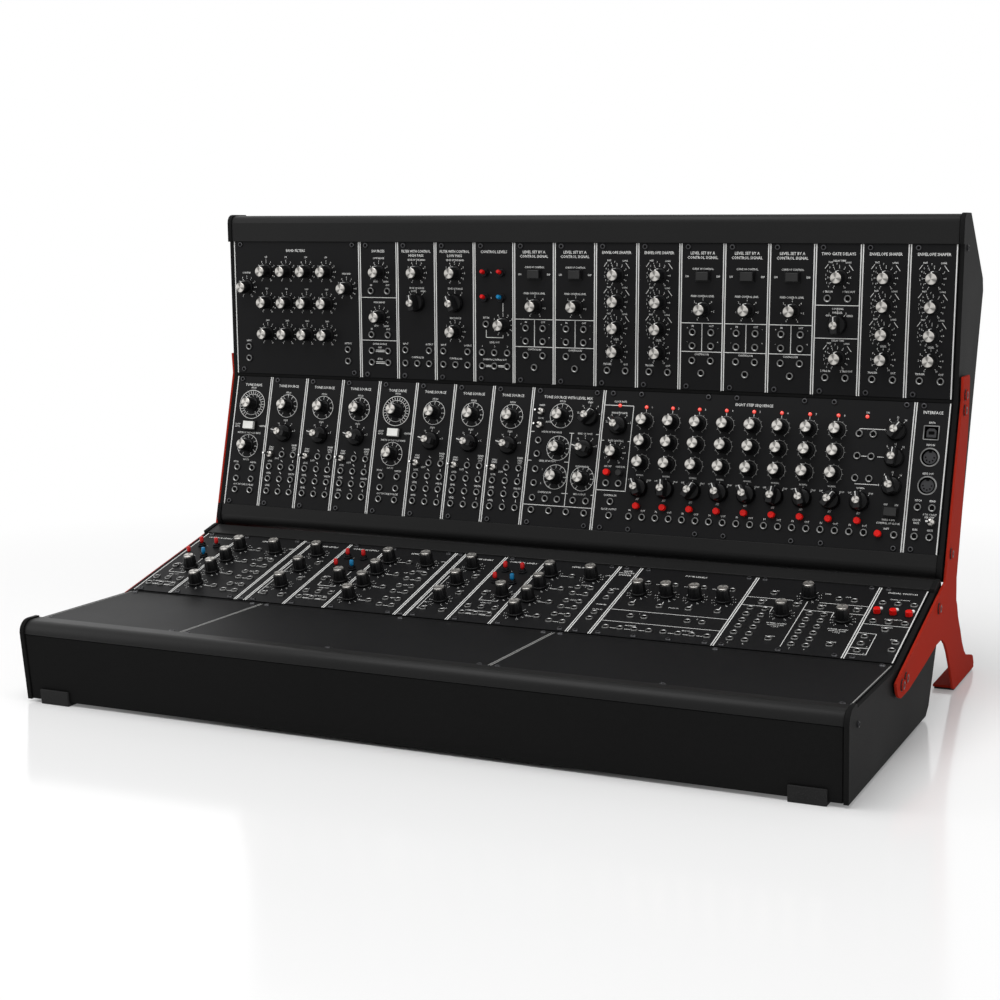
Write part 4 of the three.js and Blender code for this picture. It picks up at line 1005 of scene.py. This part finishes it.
knobs, rotaries = places_of("knobs"), places_of("rotaries")
jacks, screws = places_of("jacks"), places_of("screws")
BLACK_BUTTON, BLUE_TOGGLE = 10, 3  # their numbers in the sequencer and the control module
black_buttons, red_buttons = parted("buttons", BLACK_BUTTON)
blue_toggles, red_toggles = parted("toggles", BLUE_TOGGLE)
white_rockers, black_rockers = parted("rockers", "driver")
buttons = places_of("buttons", "tall_buttons", with_moving=True)
toggles, rockers = [places_of(kind, with_moving=True) for kind in ("toggles", "rockers")]
mini_levers = places_of("minis", turn=90)
minis = mini_levers + [place for _, kind, place in moving if kind == "minis"]
for name, shape, places, finish, slot in (
    ("knob_bodies", knob_body, knobs, knob_black, "black_knob"),
    ("knob_caps", knob_cap, knobs, cap_aluminium, "silver_metal"),
    ("knob_lines", knob_line, knobs, ink_white, "white_plastic"),
    ("rotary_skirts", skirt, rotaries, skirt_black, "black_knob"),
    ("rotary_grips", grip, rotaries, grip_painted_light, "black_knob"),
    ("rotary_caps", rotary_cap, rotaries, cap_aluminium, "silver_metal"),
    ("rotary_lines", rotary_line, rotaries, ink_white, "white_plastic"),
    ("ring_nuts", ring_nut, jacks, ring_nickel, "silver_metal"),
    ("socket_holes", socket_hole, jacks, black_and_hole_shade, "black_knob"),
    ("panel_screws", screw_head, screws, screw_zinc, "silver_metal"),
    ("panel_screw_recesses", screw_recess, screws, black_and_hole_shade, "black_knob"),
    ("red_lamps", lamp_dome, places_of("lamps"), lamp_red, "red_plastic"),
    ("clear_lamps", lamp_dome, places_of("lamps_clear"), lamp_clear, "white_plastic"),
    ("red_buttons", button, red_buttons, button_red, "red_plastic"),
    ("black_button", button, black_buttons, rocker_black, "black_knob"),
    ("tall_buttons", tall_button, places_of("tall_buttons"), button_red, "red_plastic"),
    ("button_rings", button_ring, buttons, knob_black, "black_knob"),
    ("toggle_nuts", hex_nut, toggles, screw_black, "black_knob"),
    ("toggle_bushes", bush, toggles, screw_black, "black_knob"),
    ("dome_nuts", dome_nut, minis, cap_aluminium, "silver_metal"),
    ("red_levers", toggle_lever, red_toggles, sleeve_red, "red_plastic"),
    ("blue_levers", toggle_lever, blue_toggles, sleeve_blue, "blue_plastic"),
    ("small_levers", mini_lever, mini_levers, bat_chrome, "silver_metal"),
    ("rocker_frames", rocker_frame, rockers, knob_black, "black_knob"),
    ("white_paddles", paddle, white_rockers, paddle_white, "white_plastic"),
    ("black_paddles", paddle, black_rockers, rocker_black, "black_knob"),
):
    stamp(name, shape, places, finish)

# %% Moving controls
stem = turned([(0, -3.0), (2.9, -3.0), (2.9, 0.4), (0, 0.4)], 16)
knob_parts = [(shaft, 0), (knob_body, 0), (knob_cap, 1), (knob_line, 2)]
rotary_parts = [(shaft, 0), (grip, 0), (rotary_cap, 1), (rotary_line, 2), (skirt, 3)]
rotary_finishes = (grip_painted_light, cap_aluminium, ink_white, skirt_black)
LOOKS = {
    "knobs": (knob_parts, (knob_black, cap_aluminium, ink_white), "black_knob"),
    "rotaries": (rotary_parts, rotary_finishes, "black_knob"),
    "buttons": ([(button, 0), (stem, 0)], (button_red,), "red_plastic"),
    "tall_buttons": ([(tall_button, 0), (stem, 0)], (button_red,), "red_plastic"),
    "minis": ([(mini_lever, 0)], (bat_chrome,), "silver_metal"),
    "toggles": ([(toggle_lever, 0)], (sleeve_red,), "red_plastic"),
    "control_blue_toggle": ([(toggle_lever, 0)], (sleeve_blue,), "blue_plastic"),
    "rockers": ([(paddle, 0)], (rocker_black,), "black_knob"),
    "driver_mode_rocker": ([(paddle, 0)], (paddle_white,), "white_plastic"),
}
for name, kind, place in moving:
    parts, finishes, slot = LOOKS.get(name, LOOKS[kind])
    if kind == "minis":
        place = place @ Matrix.Rotation(math.radians(90), 4, "Z")
    form = Form()
    for shape, finish in parts:
        form.add(shape, place, finish)
    made = form.piece(name + "_look", *finishes)
    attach(made, name)
    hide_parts(name)
print("moving controls dressed:", len(moving))

# %% [markdown]
# ## Cases, bars and brackets
# A folded or milled edge is never sharp: a small round catches a line of light, and that line is what
# makes the black case readable. So the structural solids are copied, their loose triangles merged
# and flattened, and a Bevel modifier rounds every edge over 25 degrees. Each copy replaces its node.
# Wide faces are shaded flat: only the narrow strips of the rounds are shaded smooth.

# %% Softened solids
NARROW = 4.5 * MM  # faces narrower than this are rounds and are shaded smooth


def soften(name, finish, width, segments=2):
    mesh = frame["nodes"][name].data.copy()
    mesh.materials.clear()
    mesh.materials.append(finish)
    made = show(name + "_soft", mesh)
    weld = made.modifiers.new("weld", "WELD")
    weld.merge_threshold = 0.002 * MM
    flat = made.modifiers.new("flat", "DECIMATE")
    flat.decimate_type, flat.angle_limit = "DISSOLVE", math.radians(0.5)
    edge = made.modifiers.new("edge", "BEVEL")
    edge.width, edge.segments = width * MM, segments
    edge.limit_method, edge.angle_limit = "ANGLE", math.radians(25)
    plain = final_mesh(made)
    made.modifiers.clear()
    made.data = plain
    points = [v.co for v in plain.vertices]
    for face in plain.polygons:
        corners = [points[i] for i in face.vertices]
        outline = sum((a - b).length for a, b in zip(corners, corners[1:] + corners[:1]))
        face.use_smooth = 2 * face.area / outline < NARROW
    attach(made, "synthesizer")
    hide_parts(name)


for level in ("lower", "upper"):
    soften(f"{level}_case_tray", case_black, 0.6)
    for part in ("front_bar", "rear_bar"):
        soften(f"{level}_{part}", bar_black, 0.35)
    for part in ("middle_rail", "left_cheek", "right_cheek"):
        soften(f"{level}_{part}", case_black, 0.35)
    soften(f"{level}_power_supply", supply_steel, 0.4)
for side in ("left", "right"):
    soften(f"{side}_bracket", bracket_red, 0.5)
    soften(f"{side}_bracket_pad", foot_rubber, 0.4)
    for end in ("front", "rear"):
        soften(f"{end}_{side}_foot", foot_rubber, 0.8, 3)
for part in ("left", "middle", "right"):
    soften(f"blank_panel_{part}", panel_black, 0.25)
for name in ("filter_bank_module", "sequencer_module", "midi_module", "top_row_modules",
             "oscillator_modules", "lower_row_modules"):
    frame["nodes"][name].data.materials[0] = panel_black
print("softened solids ready")

# %% [markdown]
# ## Bolts of the brackets and screws of the cheeks
# Six black button-head bolts hold each bracket. They are stamped like the rest, facing outwards.

# %% Bolts
BOLT_DEPTH = 13.5  # how far the bolts are below the panels of their row
# The row that each is at, and how far up its panels: at six places a bolt, at two a screw.
BOLTS = [("blank", 125.5), ("lower", 3), ("lower", 125.5), ("front", 3), ("front", 125.5), ("top", 3)]
FREE = [("blank", 3), ("top", 125.5)]


def facing_out(x, spots):
    """Places on both outer faces, each at a row and a distance up its panels."""
    places = []
    for side in (-1, 1):
        for row, along in spots:
            spot = ROWS[row] @ Vector((0, along * MM, -BOLT_DEPTH * MM))
            turn = Matrix.Rotation(math.radians(90 * side), 4, "Y")
            places.append(Matrix.Translation((side * x, spot.y, spot.z)) @ turn)
    return places


inside_rim = 2.0 * MM  # the bolts sit on a face this far inside the bracket's widest part
bolt_places = facing_out(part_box("right_bracket")[1].x - inside_rim, BOLTS)
stamp("bracket_bolts", bolt_head, bolt_places, screw_black)
cheek_places = facing_out(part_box("lower_right_cheek")[1].x, FREE)
stamp("cheek_screws", screw_head, cheek_places, screw_black)

# %% [markdown]
# ## Sockets for cables
# The interface module has a square socket with a slanted tongue and two round ones with five pins.
# They sit in real holes of the panel, so each is an insert with a ring on the panel's face.

# %% Cable sockets
INTERFACE = 134  # where the interface module starts, in steps
rounds = [on_panel("front", INTERFACE + 3.1, share * PANEL) for share in (0.361, 0.549)]
square = on_panel("front", INTERFACE + 3.0, 0.199 * PANEL)
PIN_RADIUS, NOTCH_RADIUS = 3.6 * MM, 5.2 * MM
pins, notches = [], []
for place in rounds:
    for degrees in (-90, -45, 0, 45, 90):
        a = math.radians(degrees)
        spot = (PIN_RADIUS * math.sin(a), -PIN_RADIUS * math.cos(a), -1.05 * MM)
        pins.append(place @ Matrix.Translation(spot))
    notches.append(place @ Matrix.Translation((0, NOTCH_RADIUS, -1.0 * MM)))
well = turned([(6.9, 0.2), (6.9, -8.0), (0, -8.0)], 28)
ring = [(8.3, 0.0), (8.3, 0.35), (8.0, 0.6), (7.1, 0.6), (6.95, 0.3), (6.95, -1.5)]
insert = turned([(5.9, -7.5), (5.9, -1.4), (5.6, -1.1), (0, -1.1)], 28)
# Dark dots on the insert's face: painted shade for the holes of the pins and of the notch.
pin_hole_shade = turned([(0.75, 0), (0.6, 0.12), (0, 0.12)], 10)
notch_shade = stacked(rounded_box(1.3, 1.1, 0.5, 2), [(1, 1, 0.0), (1, 1, 0.15)])
floor_of_well = [(-5.8, -5.3), (5.8, -5.3), (5.8, 5.3), (-5.8, 5.3)]
square_well = stacked(floor_of_well, [(1, 1, -8.0), (1, 1, -6.0)])
sleeve = [(-4.2, -3.9), (4.2, -3.9), (4.2, 1.9), (2.3, 3.9), (-2.3, 3.9), (-4.2, 1.9)]
square_sleeve = stacked(sleeve, [(1, 1, -6.0), (1, 1, -0.5), (0.95, 0.95, -0.3)])
tongue = stacked(rounded_box(2.5, 1.4, 0.3, 1), [(1, 1, -0.5), (1, 1, -0.2)])
for name, shape, places, finish, slot in (
    ("round_socket_wells", well, rounds, black_and_hole_shade, "black_housing"),
    ("round_socket_rings", turned(ring, 36), rounds, ring_nickel, "silver_metal"),
    ("round_socket_faces", insert, rounds, socket_grey, "black_housing"),
    ("round_socket_pins", pin_hole_shade, pins, black_and_hole_shade, "black_housing"),
    ("round_socket_notches", notch_shade, notches, black_and_hole_shade, "black_housing"),
    ("square_socket_frame", frame_round(6.9, 6.4, 1.0, 0.9), [square], ring_nickel, "silver_metal"),
    ("square_socket_well", square_well, [square], black_and_hole_shade, "black_housing"),
    ("square_socket_sleeve", square_sleeve, [square], socket_grey, "black_housing"),
    ("square_socket_tongue", tongue, [square], black_and_hole_shade, "black_housing"),
):
    stamp(name, shape, places, finish)

# %% [markdown]
# ## Scales and words
# White ink on the panels: two lines at each seam, scales round the knobs, frames, and plain words
# such as IN and OUT. All of it is flat and lies a twentieth of a millimetre above the panel. Each
# word is a text curve that is turned into a mesh once, then copied as points and faces.

# %% Ink
LIFT = 0.05  # the ink above the panel
CAPITALS = 1.4  # a text curve of this size has capitals one unit high
RING_SIDES = 40
SCALE_LINE, FRAME_LINE, EDGE_LINE = 0.45, 0.6, 1.0  # widths of lines
SEAM_LINE = 0.95  # the width of the line on either side of a seam, and how far it is from the seam
EDGE_INSET = 1.4
BLANK_SEAMS = [28, 84]
BOLDER = 0.012  # letters are drawn this much fatter, as a share of their size
TITLE, WORD = {"height": 2.5, "narrow": 0.95}, {"height": 1.7, "narrow": 0.85}
TITLE_SHARE, WORD_SHARE = 0.76, 0.88  # how much of a module's width a text may take
TITLE_DROP, TITLE_STEP = 8.4, 3.9  # from the top to the first line of a title, and to the next
word_shapes = {}


def word_shape(text):
    """A word as flat faces at a text size of one, centred, made once for each word."""
    if text not in word_shapes:
        curve = bpy.data.curves.new("word", "FONT")
        curve.body, curve.size, curve.resolution_u = text, 1.0, 1
        curve.align_x = curve.align_y = "CENTER"
        curve.offset = BOLDER
        holder = show("word", curve)
        flat = final_mesh(holder)
        points = [(v.co.x, v.co.y) for v in flat.vertices]
        word_shapes[text] = (points, [list(p.vertices) for p in flat.polygons])
        bpy.data.objects.remove(holder)
    return word_shapes[text]


class Ink:
    """Flat white shapes in millimetres from a corner of a row, or round a control's middle."""

    def __init__(self):
        self.points, self.faces = [], []

    def shape(self, points, faces):
        first = len(self.points)
        self.points += [(x * MM, y * MM, LIFT * MM) for x, y in points]
        self.faces += [[first + i for i in face] for face in faces]

    def line(self, x0, y0, x1, y1, width):
        half = width / 2 / math.hypot(x1 - x0, y1 - y0)
        dx, dy = (y0 - y1) * half, (x1 - x0) * half
        below, above = [(x0 - dx, y0 - dy), (x1 - dx, y1 - dy)], [(x1 + dx, y1 + dy), (x0 + dx, y0 + dy)]
        self.shape(below + above, [[0, 1, 2, 3]])

    def ring(self, radius, width, turn):
        """A ring round the middle that starts and ends at an angle from its top."""
        angles = [math.radians(90 - turn + 2 * turn * i / RING_SIDES) for i in range(RING_SIDES + 1)]
        radii, outer = (radius - width / 2, radius + width / 2), len(angles)
        points = [(r * math.cos(a), r * math.sin(a)) for r in radii for a in angles]
        self.shape(points, [[i, outer + i, outer + i + 1, i + 1] for i in range(RING_SIDES)])

    def word(self, x, y, text, height, narrow=0.82, widest=math.inf):
        """A word about a point, set narrow, and narrower still where it would be too wide."""
        points, faces = word_shape(text)
        size = height * CAPITALS
        half = max(px for px, py in points) * size
        across = min(narrow, widest / 2 / half) * size
        self.shape([(x + px * across, y + py * size) for px, py in points], faces)


def toward(degrees):
    """The direction at an angle from straight up."""
    return math.sin(math.radians(degrees)), math.cos(math.radians(degrees))


def dial(numbers, first=-150.0, last=150.0, ticks=11, low=7.9, high=8.9, numbers_at=10.3,
         height=1.7, rings=(), arms=(), words=()):
    """The scale round a knob, as a shape about the knob's middle."""
    scale = Ink()
    for i in range(ticks):
        x, y = toward(first + (last - first) * i / (ticks - 1))
        scale.line(low * x, low * y, high * x, high * y, SCALE_LINE)
    for i, text in enumerate(numbers):
        x, y = toward(first + (last - first) * i / (len(numbers) - 1))
        scale.word(numbers_at * x, numbers_at * y, text, height)
    for ring in rings:
        scale.ring(*ring)
    for arm in arms:
        scale.line(*arm, SCALE_LINE)
    for x, y, text in words:
        scale.word(x, y, text, 1.5)
    return scale.points, scale.faces


tens, sixes = [str(n) for n in range(11)], [str(n) for n in range(7)]
directions = [toward(degrees) for degrees in range(-130, -10, 17)]
outer_words = [(11.9 * x, 11.9 * y, str(n)) for n, (x, y) in enumerate(directions)]
outer_words += [(-7.6, 12.9, "FAST"), (7.8, 12.7, "LONG")]
arms = [(-12.6, 7.6, -9.8, 11.4), (8.4, 10.8, 12.0, 6.0)]
driver_rings = [(10.3, 0.4, 180), (14.2, 0.55, 180)]
SCALES = {
    "knob_scales": dial(tens),
    "amplifier_scales": dial(sixes, ticks=7),
    "time_scales": dial(tens, numbers_at=9.9, height=1.5, arms=arms, words=outer_words),
    "step_scales": dial([], low=7.5, rings=[(7.7, 0.3, 150)]),
    "ringed_scales": dial(tens, low=9.4, high=10.9, numbers_at=8.4, height=1.4, rings=[(11.3, 0.4, 180)]),
    "driver_scales": dial(tens, -150, 150, 25, 10.9, 13.2, 8.9, 1.5, rings=driver_rings),
    "switch_scales": dial(["32", "16", "8", "4", "2"], -75, 75, 5, 9.3, 10.5, 12.0),
    "edge_scales": dial(["1", "2", "3"], -38, 38, 3, 9.0, 10.5, 12.0),
    "count_scales": dial(["8", "12", "24"], -36, 36, 3, 9.0, 10.2, 11.8),
    "mode_scales": dial(["OFF", "NORMAL", "STOP"], -52, 52, 3, 9.0, 10.0, 11.7, 1.5),
}


def scale_of(type_name, kind, index, share):
    """Which scale a control has."""
    if kind == "rotaries":
        if type_name == "sequencer":
            side = "switch_scales" if index == len(COLUMNS) else "count_scales"
            return "mode_scales" if share == MODE_SHARE else side
        return "edge_scales" if type_name in ("high_pass", "low_pass", "delay") else "switch_scales"
    if type_name == "sequencer" and index < STEP_KNOBS:
        return "step_scales"
    if type_name == "driver":
        return ("driver_scales", "ringed_scales")[index]
    if type_name in ("oscillator", "core"):
        return "ringed_scales"
    if type_name == "delay" or type_name == "envelope" and index < 3:
        return "time_scales"
    return "amplifier_scales" if type_name == "amplifier" else "knob_scales"


scale_places = {}
for row, start, type_name, module in modules:
    for kind in ("knobs", "rotaries"):
        for index, (step, share, *_) in enumerate(module.get(kind, [])):
            name = scale_of(type_name, kind, index, share)
            scale_places.setdefault(name, []).append(on_panel(row, start + step, share * PANEL))
for name, places in scale_places.items():
    finish = ink_grey if name == "step_scales" else ink_white
    stamp(name, SCALES[name], places, finish)

for row in ("top", "front", "lower", "blank"):
    layer = Ink()
    in_row = [(start, module) for name, start, _, module in modules if name == row]
    seams = [start for start, _ in in_row if start] or BLANK_SEAMS
    upright = [(seam * STEP + side * SEAM_LINE, SEAM_LINE) for seam in seams for side in (-1, 1)]
    upright += [(EDGE_INSET, EDGE_LINE), (ROW_STEPS * STEP - EDGE_INSET, EDGE_LINE)]
    for x, width in upright:
        layer.line(x, 0, x, PANEL, width)
    for start, module in in_row:
        left, width = start * STEP, module["steps"] * STEP
        for i, text in enumerate(filter(None, module.get("title", "").split("/"))):
            drop = TITLE_DROP + TITLE_STEP * i
            layer.word(left + width / 2, PANEL - drop, text, **TITLE, widest=TITLE_SHARE * width)
        for x0, y0, x1, y1 in module.get("lines", []):
            layer.line(left + x0 * STEP, PANEL - y0, left + x1 * STEP, PANEL - y1, FRAME_LINE)
        for step, drop, text in module.get("words", []):
            layer.word(left + step * STEP, PANEL - drop, text, **WORD, widest=WORD_SHARE * width)
    form = Form().add((layer.points, layer.faces), ROWS[row])
    made = form.piece(row + "_row_ink", ink_grey if row == "blank" else ink_white)
    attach(made, "synthesizer")
    print(row, "ink faces:", len(made.data.polygons))
BLANK_SCREWS = (1.5, 26.5, 29.5, 56.0, 82.5, 85.5, 112.0, 138.5)
blank_screws = [on_panel("blank", step, drop) for step in BLANK_SCREWS for drop in (3.0, 125.4)]
stamp("blank_panel_screws", screw_head, blank_screws, screw_zinc)
stamp("blank_screw_recesses", screw_recess, blank_screws, black_and_hole_shade)

# %% [markdown]
# ## Floor and light
# A pale floor fades into a white background, so there is no horizon. Soft boxes light the object from
# above, from the left and from the right, at a level at which colours render about as written.

# %% Floor, world and lamps
def floor_finish():
    material, tree, shader = new_finish("floor_white", Roughness=0.12, Specular_IOR_Level=0.45)
    shader["Base Color"].default_value = (0.96, 0.96, 0.96, 1)
    far = node(tree, "ShaderNodeVectorMath", {"operation": "LENGTH"}, {0: own_place(tree)}, 1)
    fade = node(tree, "ShaderNodeMapRange", {}, {"Value": far, "From Min": 0.25, "From Max": 1.1})
    near, glow = Value(tree, tree.nodes["Principled BSDF"].outputs[0]), node(tree, "ShaderNodeEmission")
    mixed = node(tree, "ShaderNodeMixShader", {}, {0: fade, 1: near, 2: glow})
    put(tree, mixed, tree.nodes["Material Output"].inputs[0])
    return material


FLOOR = 12.0
floor_mesh = bpy.data.meshes.new("floor")
corners = [(-FLOOR, -FLOOR, 0), (FLOOR, -FLOOR, 0), (FLOOR, FLOOR, 0), (-FLOOR, FLOOR, 0)]
floor_mesh.from_pydata(corners, [], [[0, 1, 2, 3]])
floor_mesh.materials.append(floor_finish())
floor = show("floor", floor_mesh)

world = bpy.data.worlds.new("world")
bpy.context.scene.world = world
world.use_nodes = True
sky = world.node_tree
sky.nodes.clear()
plain, white = [
    node(sky, "ShaderNodeBackground", {}, {0: (1, 1, 1, 1), 1: strength}) for strength in (0.3, 1.0)
]
rays = sky.nodes.new("ShaderNodeLightPath").outputs
kinds = ("Camera", "Glossy", "Transmission")
to_camera, glossy, through = [Value(sky, rays[f"Is {kind} Ray"]) for kind in kinds]
seen = to_camera + glossy + through
both = node(sky, "ShaderNodeMixShader", {}, {0: seen, 1: plain, 2: white})
put(sky, both, sky.nodes.new("ShaderNodeOutputWorld").inputs[0])


def soft_box(name, place, target, width, height, power):
    lamp = bpy.data.lights.new(name, "AREA")
    lamp.shape, lamp.size, lamp.size_y, lamp.energy = "RECTANGLE", width, height, power
    holder = show(name, lamp)
    holder.location = place
    holder.rotation_euler = (Vector(target) - Vector(place)).to_track_quat("-Z", "Y").to_euler()


soft_box("top box", (-0.2, -0.5, 1.7), (0, 0, 0.15), 1.6, 1.2, 26)
soft_box("left box", (-1.7, -0.9, 0.9), (0, 0, 0.2), 0.9, 1.4, 5)
soft_box("right box", (1.7, -0.6, 0.7), (0, 0, 0.2), 0.6, 1.2, 5)
